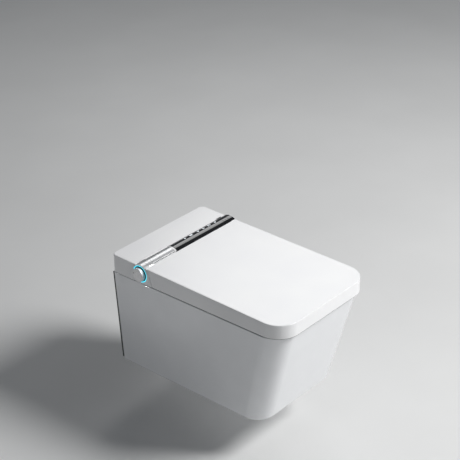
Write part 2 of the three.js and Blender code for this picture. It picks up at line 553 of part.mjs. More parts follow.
place(unitGroup, "water_heater", box(-96, -30, -16, -74, FLOOR_Z, FLOOR_Z + 26), BRASS);
place(unitGroup, "water_pump", rod("x", 11, -172, -112, [-66, FLOOR_Z + 11], 24), DARK_PLASTIC);
const inletPipe = tube("z", 7, 4.5, 66, FLOOR_Z + 6, [-SERVICE_X, SERVICE_Y], 24);
place(unitGroup, "water_inlet", inletPipe, BRASS);
place(unitGroup, "solenoid_valve", box(-162, -138, -28, -52, FLOOR_Z + 6 + GAP, FLOOR_Z + 20), BLACK_GLOSS);
place(unitGroup, "control_board", box(-172, -104, -16, -78, FLOOR_Z + 27, FLOOR_Z + 28.6), BOARD_GREEN);
const BLOWER = [64, -48];
place(unitGroup, "dryer_blower", rod("z", 26, FLOOR_Z, FLOOR_Z + 34, BLOWER, 32), DARK_PLASTIC);
const ductOuter = box(FLAP_X[0], FLAP_X[1], -76, FRONT_COVER_Y + 4, FLOOR_Z, FLAP_TOP_Z + 3);
const ductInner = box(FLAP_X[0] + 2, FLAP_X[1] - 2, -70, FRONT_COVER_Y, FLOOR_Z + 2, FLAP_TOP_Z + 1);
const blowerRoom = rod("z", 26 + GAP, 90, 160, BLOWER, 32);
place(unitGroup, "dryer_duct", ductOuter.subtract(ductInner).subtract(blowerRoom), GREY_PLASTIC);
const flapPlate = box(...FLAP_X, FRONT_COVER_Y - FLAP_THICK, FRONT_COVER_Y, FLAP_LOW_Z, FLAP_TOP_Z - GAP);
place(unitGroup, "dryer_flap", flapPlate, WHITE_PLASTIC);
place(unitGroup, "deodoriser_fan", box(116, 152, -54, -80, FLOOR_Z, FLOOR_Z + 16), DARK_PLASTIC);
place(unitGroup, "power_supply", box(100, 178, -16, -78, FLOOR_Z + 18, FLOOR_Z + 40), GREY_PLASTIC);
place(unitGroup, "cable_gland", tube("z", 7, 4, 84, FLOOR_Z + 8, [SERVICE_X, SERVICE_Y], 24), DARK_PLASTIC);
for (const [side, sign] of SIDES) {
  const centre = [sign * SEAT_BOLT_X, SEAT_BOLT_Y];
  const bolt = rod("z", 4, 62, FLOOR_Z, centre, 24).add(rod("z", 7.5, FLOOR_Z, FLOOR_Z + 5, centre, 24));
  place(unitGroup, "seat_bolt_" + side, bolt, STEEL);
  const deckLow = RIM_Z - DECK_WALL;
  const nut = tube("z", 11, 4 + GAP, deckLow - GAP, deckLow - 14, centre, 24);
  place(unitGroup, "seat_bolt_nut_" + side, nut, DARK_PLASTIC);
}

// ---------- seat ----------
const SEAT_HALF = HALF_WIDTH - LID_WALL - SEAT_SIDE_GAP;
const SEAT_FRONT_Y = -LENGTH + LID_WALL + SEAT_SIDE_GAP;
const seatPlan = (inset) =>
  outline(SEAT_HALF - inset, SEAT_REAR_Y - inset, SEAT_FRONT_Y + inset,
    SEAT_REAR_R - inset, FRONT_RADIUS - 10 - inset);
const holePlan = (grow) =>
  outline(SEAT_HOLE_HALF + grow, SEAT_HOLE_REAR_Y + grow, SEAT_HOLE_FRONT_Y - grow, 78 + grow, 98 + grow);
function seatRing(inset, z0, z1) {
  return solid(slab(seatPlan(inset), z0, z1)).subtract(solid(slab(holePlan(inset), z0 - 1, z1 + 1)));
}
const seatTop = seatRing(0, SEAT_SPLIT_Z, SEAT_TOP_Z);
const seatHollow = seatRing(SEAT_WALL, SEAT_SPLIT_Z - 1, SEAT_TOP_Z - SEAT_WALL);
place(seatGroup, "seat_top", seatTop.subtract(seatHollow), WHITE_PLASTIC);
place(seatGroup, "seat_bottom", seatRing(0, SEAT_BOTTOM_Z, SEAT_SPLIT_Z - GAP), WHITE_PLASTIC);
const heaterTop = SEAT_TOP_Z - SEAT_WALL - GAP;
place(seatGroup, "seat_heater", seatRing(SEAT_WALL + 3, heaterTop - 1.2, heaterTop), BRASS);

// Buffers: rubber feet under the seat and under the lid, near the corners.
const FOOT_X = HALF_WIDTH - 42;
const FOOT_REAR_Y = -215;
const FOOT_FRONT_Y = -(LENGTH - 65.5);
for (const [side, sign] of SIDES) {
  for (const [end, y] of [["rear", FOOT_REAR_Y], ["front", FOOT_FRONT_Y]]) {
    const foot = rod("z", 8, RIM_Z + GAP, SEAT_BOTTOM_Z - GAP, [sign * (FOOT_X + 12), y], 20);
    place(seatGroup, "seat_buffer_" + end + "_" + side, foot, RUBBER);
  }
}

// A knuckle turns on the hinge pin; its cap continues the bar's outline.
function knuckle(sign, x0, x1, arm) {
  const cap = sign < 0 ? barrelCap(0) : lensCap(0);
  const disc = rod("x", KNUCKLE_R, x0, x1, [HINGE_Y, HINGE_Z], 48);
  const body = sideSlab(arm, x0, x1).add(disc).add(sideSlab(cap, x0, x1));
  const bore = rod("x", PIN_R + PIN_PLAY, x0 - 5, x1 + 5, [HINGE_Y, HINGE_Z], 32);
  return onSide(sign, body.subtract(bore));
}
const SEAT_ARM = [
  [HINGE_Y, SEAT_SPLIT_Z], [HINGE_Y - 18, SEAT_BOTTOM_Z + 1], [SEAT_REAR_Y + GAP, SEAT_BOTTOM_Z],
  [SEAT_REAR_Y + GAP, SEAT_TOP_Z - 3], [HINGE_Y - 18, HINGE_Z + 9], [HINGE_Y, HINGE_Z + 9]];
for (const [side, sign] of SIDES) {
  const arm = knuckle(sign, SEAT_KNUCKLE_X - KNUCKLE_WIDTH, SEAT_KNUCKLE_X, SEAT_ARM);
  place(seatGroup, "seat_hinge_" + side, arm, sign < 0 ? SATIN_METAL : BLACK_GLOSS);
}

// ---------- lid ----------
const lidUnder = (y) => topZ(y) - LID_WALL;
function lidRear(radius, lowZ, topDrop, frontY) {
  const topAngle = Math.PI - Math.asin((topZ(HINGE_Y - 22) - topDrop - HINGE_Z) / radius);
  const s = new THREE.Shape();
  s.moveTo(frontY, lowZ);
  s.lineTo(HINGE_Y - radius * 0.9 - 6, lowZ);
  s.lineTo(HINGE_Y - radius * 0.9 - 6, HINGE_Z - radius * 0.4);
  s.absarc(HINGE_Y, HINGE_Z, radius, Math.PI + 0.2, topAngle, true);
  s.lineTo(frontY, topZ(frontY) - topDrop);
  return s;
}
function lidShell() {
  const frontY = -LENGTH - 5;
  const outer = planBody(0, SKIRT_Z, TOP_Z).intersect(
    sideSlab(lidRear(LID_REAR_R, SKIRT_Z, 0, frontY), -HALF_WIDTH - 5, HALF_WIDTH + 5));
  const side = [[20, 90], [20, lidUnder(20)], [frontY, lidUnder(frontY)], [frontY, 90]];
  const inner = planBody(LID_WALL, 90, TOP_Z).intersect(sideSlab(side, -HALF_WIDTH, HALF_WIDTH));
  let shell = outer.subtract(inner);
  for (const sign of [-1, 1]) {
    const cheekRoom = cheek(SEAM_R, CHEEK_X - 0.5, HALF_WIDTH + 2, SKIRT_Z - 10, -10);
    shell = shell.subtract(onSide(sign, cheekRoom));
  }
  return shell;
}
place(lidGroup, "lid_shell", lidShell(), WHITE_PLASTIC);

const linerTop = (y) => lidUnder(y) - GAP;
const linerSide = [
  [LINER_REAR_Y, linerTop(LINER_REAR_Y) - LINER_THICK], [LINER_REAR_Y, linerTop(LINER_REAR_Y)],
  [-LENGTH, linerTop(-LENGTH)], [-LENGTH, linerTop(-LENGTH) - LINER_THICK]];
const linerPlan = planBody(LID_WALL + GAP, 90, TOP_Z);
const liner = linerPlan.intersect(sideSlab(linerSide, -HALF_WIDTH, HALF_WIDTH));
place(lidGroup, "lid_liner", liner, WHITE_PLASTIC);
for (const [side, sign] of SIDES) {
  const top = linerTop(FOOT_FRONT_Y - 8) - LINER_THICK - GAP;
  const foot = rod("z", 7, SEAT_TOP_Z + GAP, top, [sign * FOOT_X, FOOT_FRONT_Y], 20);
  place(lidGroup, "lid_buffer_" + side, foot, RUBBER);
}
const LID_ARM_FRONT_Y = LINER_REAR_Y + 4;
const LID_ARM = [
  [HINGE_Y, HINGE_Z - 2], [LID_ARM_FRONT_Y, HINGE_Z + 3], [LID_ARM_FRONT_Y, linerTop(LID_ARM_FRONT_Y)],
  [HINGE_Y - LID_REAR_R + 4, linerTop(LID_ARM_FRONT_Y)], [HINGE_Y, HINGE_Z + 10]];
for (const [side, sign] of SIDES) {
  const arm = knuckle(sign, LID_KNUCKLE_X - KNUCKLE_WIDTH, LID_KNUCKLE_X, LID_ARM);
  place(lidGroup, "lid_hinge_" + side, arm, sign < 0 ? SATIN_METAL : BLACK_GLOSS);
}

export default toilet;
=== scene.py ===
# %% [markdown]
# # An electric bidet seat on its wall-hung bowl
# The CAD model gives the frame: every piece here is made round the places and sizes that it states.
# This file builds the surfaces that a buyer sees: glazed ceramic, moulded plastic, plated metal and a
# black display. Lengths are in millimetres while a shape is made, and in metres once it is an object.

# %% load the frame
import json
import math

import bmesh
import bpy
from mathutils import Matrix, Vector


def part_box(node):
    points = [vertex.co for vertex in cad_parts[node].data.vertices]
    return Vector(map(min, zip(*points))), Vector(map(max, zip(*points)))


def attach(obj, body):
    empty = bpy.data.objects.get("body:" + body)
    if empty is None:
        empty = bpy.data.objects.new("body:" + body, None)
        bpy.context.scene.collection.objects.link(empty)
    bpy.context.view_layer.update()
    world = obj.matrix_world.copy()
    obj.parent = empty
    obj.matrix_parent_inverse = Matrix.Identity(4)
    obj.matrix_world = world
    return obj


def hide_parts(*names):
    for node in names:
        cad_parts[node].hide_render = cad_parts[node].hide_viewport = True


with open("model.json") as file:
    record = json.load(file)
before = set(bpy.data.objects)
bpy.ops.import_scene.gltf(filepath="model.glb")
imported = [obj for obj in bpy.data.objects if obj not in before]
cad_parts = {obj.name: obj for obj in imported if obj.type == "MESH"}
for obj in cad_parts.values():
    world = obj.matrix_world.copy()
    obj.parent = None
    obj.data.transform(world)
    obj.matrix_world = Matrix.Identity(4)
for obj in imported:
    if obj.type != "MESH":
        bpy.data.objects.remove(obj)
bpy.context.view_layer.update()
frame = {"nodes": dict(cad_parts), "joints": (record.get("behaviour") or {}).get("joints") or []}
MM = 0.001


# %% [markdown]
# ## Places that come from the frame
# A node's lowest and highest corners, in millimetres, place almost everything. The hinge line is
# written in the record's joints.

# %% corners and joints
def corners(node):
    low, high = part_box(node)
    return low / MM, high / MM


def joint_point(name):
    joint = next(j for j in frame["joints"] if j["name"] == name)
    return Vector(joint["pos_m"]) / MM


bowl_low, bowl_high = corners("ceramic_bowl")
lid_low, lid_high = corners("lid_shell")
housing_low, housing_high = corners("housing_cover")
hinge = joint_point("seat_hinge")
HALF = lid_high.x
BACK_Y = housing_high.y
FRONT_Y = lid_low.y
RIM_Z = bowl_high.z
TOP_FALL = 0.021  # the top falls this much per millimetre towards the front
TOP_Z = housing_high.z - TOP_FALL * BACK_Y
print("rim", round(RIM_Z, 1), "top", round(TOP_Z, 1), "hinge", [round(v, 1) for v in hinge])


# %% [markdown]
# ## Camera
# A long lens from the front left and above keeps the object's edges almost parallel. A track-to
# constraint could aim it, but a very small roll is needed too, so the camera's own axes are worked
# out from its azimuth, its elevation and that roll.

# %% camera
CAMERA_PLACE = (-2.4702, -2.4060, 1.9832)
azimuth, elevation, roll = (math.radians(a) for a in (-49.19, 28.05, -0.75))
level = math.cos(elevation)
back = Vector((math.sin(azimuth) * level, -math.cos(azimuth) * level, math.sin(elevation)))
right = (-back).cross(Vector((0, 0, 1))).normalized()
up = right.cross(-back)
across = math.cos(roll) * right + math.sin(roll) * up
upward = -math.sin(roll) * right + math.cos(roll) * up
camera = bpy.data.objects.new("camera", bpy.data.cameras.new("camera"))
camera.data.lens = 107.49
camera.data.sensor_width = 36
turn = Matrix((across, upward, back)).transposed().to_4x4()
camera.matrix_world = Matrix.Translation(CAMERA_PLACE) @ turn
bpy.context.scene.collection.objects.link(camera)
bpy.context.scene.camera = camera
print("camera at", [round(v, 3) for v in camera.location])


# %% [markdown]
# ## Stage
# A large pale floor lies where the room's floor would be, well below the bowl, because the object
# hangs on a wall. A curved backdrop would hide the horizon too, but from this height one flat face
# that runs far past the view does the same.

# %% floor
FLOOR_Z, FLOOR_REACH = -325, 30000
floor_mesh = bpy.data.meshes.new("floor")
floor_corners = [(x * FLOOR_REACH, y * FLOOR_REACH) for x, y in ((-1, -1), (1, -1), (1, 1), (-1, 1))]
floor_mesh.from_pydata([(x * MM, y * MM, FLOOR_Z * MM) for x, y in floor_corners], [], [(0, 1, 2, 3)])
floor = bpy.data.objects.new("floor", floor_mesh)
bpy.context.scene.collection.objects.link(floor)
print("floor at", FLOOR_Z, "mm")


# %% [markdown]
# ## Light
# One big soft light from the front right gives the bright top and front and leaves the knob's side
# in open shade. A sky picture could light it all at once, but single lamps can be placed one by one:
# a second one behind draws a soft band along the display, a narrow spot lifts the knob's face, and
# a pale, dim world fills the shadows.

# %% lights
def soft_light(name, place, aim, size, watts):
    data = bpy.data.lights.new(name, "AREA")
    data.shape = "DISK"
    data.size = size
    data.energy = watts
    lamp = bpy.data.objects.new(name, data)
    lamp.location = place
    lamp.rotation_euler = (Vector(aim) - Vector(place)).to_track_quat("-Z", "Y").to_euler()
    bpy.context.scene.collection.objects.link(lamp)
    return lamp


soft_light("key", (1.5, -3.0, 3.0), (0, -0.3, 0), 1.5, 168)
soft_light("rear_fill", (1.95, 1.1, 1.95), (0, -0.1, 0.15), 1.3, 9)
knob_light = soft_light("knob_light", (-1.9, 1.2, -0.15), (-0.195, -0.1105, 0.132), 0.3, 150)
knob_light.data.type = "SPOT"
knob_light.data.spot_size = math.radians(3.4)
knob_light.data.spot_blend = 1.0
knob_light.data.shadow_soft_size = 0.2

world = bpy.data.worlds.new("world")
bpy.context.scene.world = world
world.use_nodes = True
sky = world.node_tree.nodes["Background"]
sky.inputs["Color"].default_value = (0.78, 0.82, 0.87, 1)
sky.inputs["Strength"].default_value = 0.16
bpy.context.scene.view_settings.view_transform = "Standard"
print("lights", len(bpy.data.lights))


# %% [markdown]
# ## Materials
# Each finish starts from a Principled shader with the usual values of the real material. An image
# could give it its small marks, but a procedural pattern has no seams and stays sharp close up. One
# function turns a colour written as sRGB hex into linear light, and one adds a node with its
# settings and links. A last one lays an irregular pattern, sized in millimetres, over a finish.

# %% colour and node helpers
def linear(hex_colour):
    parts = [int(hex_colour[i:i + 2], 16) / 255 for i in (0, 2, 4)]
    return [c / 12.92 if c <= 0.04045 else ((c + 0.055) / 1.055) ** 2.4 for c in parts] + [1.0]


def add(material, kind, settings=None, values=None, links=None):
    made = material.node_tree.nodes.new(kind)
    for key, value in (settings or {}).items():
        setattr(made, key, value)
    for key, value in (values or {}).items():
        made.inputs[key].default_value = value
    for key, socket in (links or {}).items():
        material.node_tree.links.new(socket, made.inputs[key])
    return made


def shader_of(material):
    return material.node_tree.nodes["Principled BSDF"]


def new_material(name, colour, roughness, metallic=0.0, **sockets):
    made = bpy.data.materials.new(name)
    made.use_nodes = True
    shader = shader_of(made)
    shader.inputs["Base Color"].default_value = linear(colour)
    shader.inputs["Roughness"].default_value = roughness
    shader.inputs["Metallic"].default_value = metallic
    for key, value in sockets.items():
        shader.inputs[key.replace("_", " ")].default_value = value
    return made


# %% an irregular pattern over a finish
def per_mm(size):
    """Texture scale, in object space, for features about this many millimetres across."""
    return 1.0 / (size * MM)


def lay_pattern(material, size, detail=2.0, stretch=(1, 1, 1), colours=None, roughness=None, relief=None):
    """The pattern drifts between two colours or two roughnesses, or gives a relief of (mm, strength).

    It is stretched along an axis where the real surface is drawn or brushed.
    """
    links, shader = material.node_tree.links, shader_of(material)
    place = add(material, "ShaderNodeTexCoord").outputs["Object"]
    scaled = add(material, "ShaderNodeMapping", values={"Scale": stretch}, links={"Vector": place})
    noise = add(material, "ShaderNodeTexNoise", values={"Scale": per_mm(size), "Detail": detail},
                links={"Vector": scaled.outputs["Vector"]}).outputs["Fac"]
    middle = {"From Min": 0.3, "From Max": 0.7}
    if colours:
        share = add(material, "ShaderNodeMapRange", values=middle, links={"Value": noise})
        mixed = add(material, "ShaderNodeMix", {"data_type": "RGBA"},
                    {6: linear(colours[0]), 7: linear(colours[1])}, {0: share.outputs["Result"]})
        links.new(mixed.outputs[2], shader.inputs["Base Color"])
    if roughness:
        ends = {"To Min": roughness[0], "To Max": roughness[1]}
        ranged = add(material, "ShaderNodeMapRange", values={**middle, **ends}, links={"Value": noise})
        links.new(ranged.outputs["Result"], shader.inputs["Roughness"])
    if relief:
        raised = add(material, "ShaderNodeBump", values={"Strength": relief[1], "Distance": relief[0] * MM},
                     links={"Height": noise})
        links.new(raised.outputs["Normal"], shader.inputs["Normal"])


# %% [markdown]
# ### Vitreous china
# The bowl is clay fired with an opaque white glaze. Glaze is glass, so its index is 1.5 and it is
# almost mirror smooth, but it settles in slow waves a few centimetres long that bend reflections.
# A thin coat over the white gives that depth, and one slow pattern moves both colour and surface.

# %% glazed vitreous china
china = new_material("vitreous_china_white_glaze", "f1f2f4", 0.1, IOR=1.52, Coat_Weight=0.5,
                     Coat_Roughness=0.04)
lay_pattern(china, 55, detail=1, colours=("f2f3f5", "f0f1f3"), relief=(0.12, 0.25))
lay_pattern(china, 9, detail=4, roughness=(0.09, 0.13))
print(china.name)


# %% [markdown]
# ### Moulded white plastics
# Seats of this class are pressed from white urea and covers are moulded in ABS. The mould is
# polished, so the skin is a soft gloss with a very fine orange peel, drawn here 2.5 mm across because
# the true 0.5 mm would not show. Faces that stay hidden keep the fine texture of a blasted mould.

# %% white moulded plastics
shell_white = new_material("white_abs_moulded_gloss", "f4f4f4", 0.24, IOR=1.53, Coat_Weight=0.15,
                           Coat_Roughness=0.1)
lay_pattern(shell_white, 2.5, relief=(0.004, 0.3))
lay_pattern(shell_white, 120, detail=1, colours=("f5f5f5", "f2f2f3"))
lay_pattern(shell_white, 30, detail=5, roughness=(0.22, 0.26))

seat_white = new_material("white_urea_pressed", "f2f2f0", 0.2, IOR=1.55)
lay_pattern(seat_white, 3, relief=(0.02, 0.3))
lay_pattern(seat_white, 80, colours=("f4f4f2", "efefed"))
lay_pattern(seat_white, 11, detail=5, roughness=(0.16, 0.28))

inner_white = new_material("white_abs_fine_texture", "ececec", 0.42, IOR=1.53)
lay_pattern(inner_white, 0.9, detail=3, relief=(0.05, 0.5))
lay_pattern(inner_white, 40, colours=("efefef", "e7e8e9"))
print(shell_white.name, seat_white.name, inner_white.name)


# %% [markdown]
# ### Grey, dark and black plastics
# Parts inside the unit keep the matt spark texture of an unpolished mould: its pits are drawn about
# 1 mm across, because the true 0.1 mm would not show. The display is polished acrylic, near black,
# whose gloss is its whole look, so it gets a clear coat and only a trace of uneven polish.

# %% grey and dark plastics
grey_abs = new_material("grey_abs_matt", "c3c6c8", 0.5, IOR=1.53)
lay_pattern(grey_abs, 1.2, detail=3, relief=(0.06, 0.6))
lay_pattern(grey_abs, 30, colours=("c6c9cb", "bcc0c3"))

dark_nylon = new_material("dark_nylon_spark_texture", "2b2d30", 0.5, IOR=1.53)
lay_pattern(dark_nylon, 0.8, detail=4, relief=(0.06, 0.7))
lay_pattern(dark_nylon, 18, colours=("303235", "242629"))

acrylic = new_material("black_polished_acrylic", "0a0b0d", 0.06, IOR=1.49, Coat_Weight=1.0,
                       Coat_Roughness=0.02)
lay_pattern(acrylic, 20, detail=5, roughness=(0.05, 0.1))
lay_pattern(acrylic, 60, colours=("0b0c0e", "08090b"))
print(grey_abs.name, dark_nylon.name, acrylic.name)


# %% [markdown]
# ### Metals
# The barrel is plated and then brushed to a satin silver. The brush runs along the barrel, so its
# pattern is stretched along X. The knob's aluminium is bead blasted, and steel and brass pieces are
# drawn or turned. All these grains are drawn about 1 mm wide, because the true 0.1 mm would not show.

# %% metals
satin = new_material("satin_nickel_plating", "f0f0f0", 0.36, metallic=1.0)
lay_pattern(satin, 0.9, detail=3, stretch=(0.03, 1, 1), roughness=(0.3, 0.42), relief=(0.002, 0.2))
lay_pattern(satin, 30, colours=("f2f2f2", "e8e9ea"))

knob_silver = new_material("bead_blasted_aluminium", "f4f4f4", 0.55, metallic=1.0)
lay_pattern(knob_silver, 1.1, detail=6, colours=("f6f6f6", "d2d2d4"), roughness=(0.48, 0.65),
            relief=(0.09, 0.8))

steel = new_material("stainless_steel_drawn", "b4b6b9", 0.3, metallic=1.0)
lay_pattern(steel, 1.0, detail=3, stretch=(1, 0.06, 0.2), roughness=(0.22, 0.4), relief=(0.015, 0.5))

brass = new_material("turned_brass", "c9a562", 0.28, metallic=1.0)
lay_pattern(brass, 1.5, detail=4, stretch=(1, 1, 0.1), relief=(0.02, 0.5))
lay_pattern(brass, 12, detail=4, colours=("cba766", "b8924c"))
print(satin.name, knob_silver.name, steel.name, brass.name)


# %% [markdown]
# ### Rubber, circuit board and light
# Rubber is matt with a dusty bloom, which a little sheen gives. The board is glass laminate under a
# green mask, with its tracks drawn as a brick pattern, coarser than real ones so that they show. The
# light guide and the symbols glow by themselves: they could be lit from behind, but emission is even.

# %% rubber, boards and lights
rubber = new_material("epdm_rubber", "38393b", 0.78, IOR=1.5, Sheen_Weight=0.15)
lay_pattern(rubber, 1.5, detail=5, relief=(0.08, 0.6))
lay_pattern(rubber, 8, detail=4, colours=("3e3f41", "303133"))

board_green = new_material("green_circuit_board", "1c5438", 0.4, IOR=1.5)
board_place = add(board_green, "ShaderNodeTexCoord").outputs["Object"]
track_values = {"Scale": per_mm(9), "Mortar Size": 0.06, "Color1": linear("1b5437"),
                "Color2": linear("236443"), "Mortar": linear("7f8f5a")}
tracks = add(board_green, "ShaderNodeTexBrick", values=track_values, links={"Vector": board_place})
board_green.node_tree.links.new(tracks.outputs["Color"], shader_of(board_green).inputs["Base Color"])

led_cyan = new_material("cyan_light_guide", "6fe6f6", 0.3, IOR=1.49, Emission_Strength=1.1)
shader_of(led_cyan).inputs["Emission Color"].default_value = linear("45dcf5")
lay_pattern(led_cyan, 6, colours=("74e8f7", "5fdff0"))

symbol_white = new_material("lit_symbol_white", "e8eef2", 0.4, IOR=1.49, Emission_Strength=1.2)
shader_of(symbol_white).inputs["Emission Color"].default_value = linear("e6edf2")
lay_pattern(symbol_white, 4, colours=("eef2f5", "dfe6ea"))


# %% [markdown]
# ### Floor
# Pale plaster, almost even, with a slow drift of tone and a faint trowelled relief. It only takes the
# object's shadow, so one flat face is enough.

# %% floor finish
floor_paint = new_material("pale_floor_plaster", "e6e6e5", 0.65)
lay_pattern(floor_paint, 400, detail=3, colours=("e7e7e6", "e3e3e2"))
lay_pattern(floor_paint, 30, detail=4, relief=(0.1, 0.3))
floor.data.materials.append(floor_paint)
print("materials", len(bpy.data.materials))


# %% [markdown]
# ## Making shapes
# Most pieces are lofts: closed outlines with the same number of points, joined ring to ring. A
# subdivided cage could make them too, but it would pull the flat faces soft, while a loft gives
# exact round edges and even quads.

# %% outlines and lofts
CORNER_STEPS = 14


def outline(half, rear_y, front_y, rear_r, front_r, steps=CORNER_STEPS):
    """Plan outline as points, anticlockwise from the front left corner."""
    quarter = [
        (-half + front_r, front_y + front_r, front_r, 180),
        (half - front_r, front_y + front_r, front_r, 270),
        (half - rear_r, rear_y - rear_r, rear_r, 0),
        (-half + rear_r, rear_y - rear_r, rear_r, 90)]
    points = []
    for cx, cy, radius, start in quarter:
        for i in range(steps + 1):
            a = math.radians(start + 90 * i / steps)
            points.append((cx + radius * math.cos(a), cy + radius * math.sin(a)))
    return points


def to_object(name, bm):
    bmesh.ops.recalc_face_normals(bm, faces=bm.faces)
    bmesh.ops.scale(bm, vec=(MM, MM, MM), verts=bm.verts)
    mesh = bpy.data.meshes.new(name)
    bm.to_mesh(mesh)
    bm.free()
    made = bpy.data.objects.new(name, mesh)
    bpy.context.scene.collection.objects.link(made)
    return made


def loft(name, rings, closed=False):
    """Joins rings of points. An open loft is capped; a closed one joins its last ring to its first."""
    bm = bmesh.new()
    rows = [[bm.verts.new(point) for point in ring] for ring in rings]
    count = len(rows[0])
    pairs = list(zip(rows, rows[1:])) + ([(rows[-1], rows[0])] if closed else [])
    for low, high in pairs:
        for i in range(count):
            j = (i + 1) % count
            bm.faces.new((low[i], low[j], high[j], high[i]))
    if not closed:
        bm.faces.new(reversed(rows[0]))
        bm.faces.new(rows[-1])
    return to_object(name, bm)


def prism(name, points, low, high, axis="z"):
    """A flat outline pulled along an axis. For axis x the points are (y, z)."""
    if axis == "x":
        rings = [[(at, y, z) for y, z in points] for at in (low, high)]
    elif axis == "y":
        rings = [[(x, at, z) for x, z in points] for at in (low, high)]
    else:
        rings = [[(x, y, at) for x, y in points] for at in (low, high)]
    return loft(name, rings)


def block(name, x0, x1, y0, y1, z0, z1):
    return prism(name, [(x0, y0), (x1, y0), (x1, y1), (x0, y1)], z0, z1)


def circle(centre, radius, steps=72):
    turns = [math.tau * i / steps for i in range(steps)]
    return [(centre[0] + radius * math.cos(a), centre[1] + radius * math.sin(a)) for a in turns]


def arc(centre, radius, from_deg, to_deg, steps=24):
    angles = [math.radians(from_deg + (to_deg - from_deg) * i / steps) for i in range(steps + 1)]
    return [(centre[0] + radius * math.cos(a), centre[1] + radius * math.sin(a)) for a in angles]


def rod(name, axis, radius, low, high, centre, steps=72):
    return prism(name, circle(centre, radius, steps), low, high, axis)


# %% [markdown]
# ## Cutting, rounding and handing over
# Pieces with slots and pockets start as lofts or prisms and are then cut with exact booleans. Live
# modifiers would keep the cutters in the file, so each step is applied at once. Real mouldings have
# no sharp edge, so a bevel rounds every new one. Weighted normals keep the flat faces flat under
# smooth shading. Last, each piece is tied to the body that it moves with.

# %% booleans
def applied(piece):
    """Turns the piece's modifiers into its mesh."""
    bpy.context.view_layer.update()
    made = bpy.data.meshes.new_from_object(piece.evaluated_get(bpy.context.evaluated_depsgraph_get()))
    piece.modifiers.clear()
    old = piece.data
    piece.data = made
    bpy.data.meshes.remove(old)
    return piece


def combine(piece, tools, how):
    for tool in tools:
        step = piece.modifiers.new(how, "BOOLEAN")
        step.operation = how
        step.solver = "EXACT"
        step.object = tool
        applied(piece)
        bpy.data.objects.remove(tool)
    return piece


def cut(piece, *tools):
    return combine(piece, tools, "DIFFERENCE")


def join(piece, *tools):
    return combine(piece, tools, "UNION")


def keep_common(piece, *tools):
    return combine(piece, tools, "INTERSECT")


# %% bevels and handing over
def soften(piece, width, segments=2, angle=34):
    """Rounds every edge that turns by more than the angle."""
    tidy = bmesh.new()
    tidy.from_mesh(piece.data)
    bmesh.ops.remove_doubles(tidy, verts=tidy.verts, dist=0.02 * MM)
    bmesh.ops.dissolve_limit(tidy, angle_limit=math.radians(0.4), verts=tidy.verts, edges=tidy.edges)
    tidy.to_mesh(piece.data)
    tidy.free()
    step = piece.modifiers.new("soften", "BEVEL")
    step.width = width * MM
    step.segments = segments
    step.limit_method = "ANGLE"
    step.angle_limit = math.radians(angle)
    step.miter_outer = "MITER_ARC"
    step.use_clamp_overlap = True
    return applied(piece)


def finish_piece(piece, body, material, replaced=(), smooth_angle=32):
    """Smooth shading with crisp edges, a material, and the body that the piece rides on."""
    piece.data.materials.clear()
    piece.data.materials.append(material)
    piece.data.shade_smooth()
    piece.data.set_sharp_from_angle(angle=math.radians(smooth_angle))
    weighted = piece.modifiers.new("even_normals", "WEIGHTED_NORMAL")
    weighted.keep_sharp = True
    weighted.weight = 80
    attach(piece, body)
    if replaced:
        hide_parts(*replaced)
    print(piece.name, len(piece.data.vertices), "points, rides on", body)
    return piece


# %% [markdown]
# ## The ceramic bowl
# The bowl is slip cast: a tapered body with flat faces, large front corners and a basin that is part
# of the same skin. A basin could be cut from a block, but one loft does it all: it climbs the
# outside, turns over the rim, crosses the deck and goes down into the basin, so the glaze runs over
# every edge without a seam.

# %% bowl outlines
BOTTOM_Z = bowl_low.z
BOTTOM_HALF, BOTTOM_FRONT = 166.3, -515
RIM_HALF, RIM_FRONT = bowl_high.x, bowl_low.y
BOWL_REAR = bowl_high.y
REAR_R, FRONT_R = 12, 64
BASIN = {"half": 130, "rear": -122, "front": -540, "rear_r": 80, "front_r": 105, "bottom": -131}
SUMP_Y, SUMP_R = -225, 14


def bowl_ring(z, inset=0.0, height=None):
    share = (z - BOTTOM_Z) / (RIM_Z - BOTTOM_Z)
    half = BOTTOM_HALF + (RIM_HALF - BOTTOM_HALF) * share - inset
    front = BOTTOM_FRONT + (RIM_FRONT - BOTTOM_FRONT) * share + inset
    front_r = (FRONT_R - 6 * (1 - share)) - inset
    points = outline(half, BOWL_REAR - inset * 0.2, front, max(REAR_R - inset, 4), front_r)
    return [(x, y, z if height is None else height) for x, y in points]


def basin_ring(z, grow=0.0):
    depth = (RIM_Z - z) / (RIM_Z - BASIN["bottom"])
    pull_x = 1 - 0.56 * depth ** 1.5
    pull_y = 1 - 0.62 * depth ** 1.35
    points = outline(BASIN["half"] + grow, BASIN["rear"] + grow, BASIN["front"] - grow,
                     BASIN["rear_r"] + grow, BASIN["front_r"] + grow)
    return [(x * pull_x, SUMP_Y + (y - SUMP_Y) * pull_y, z) for x, y in points]


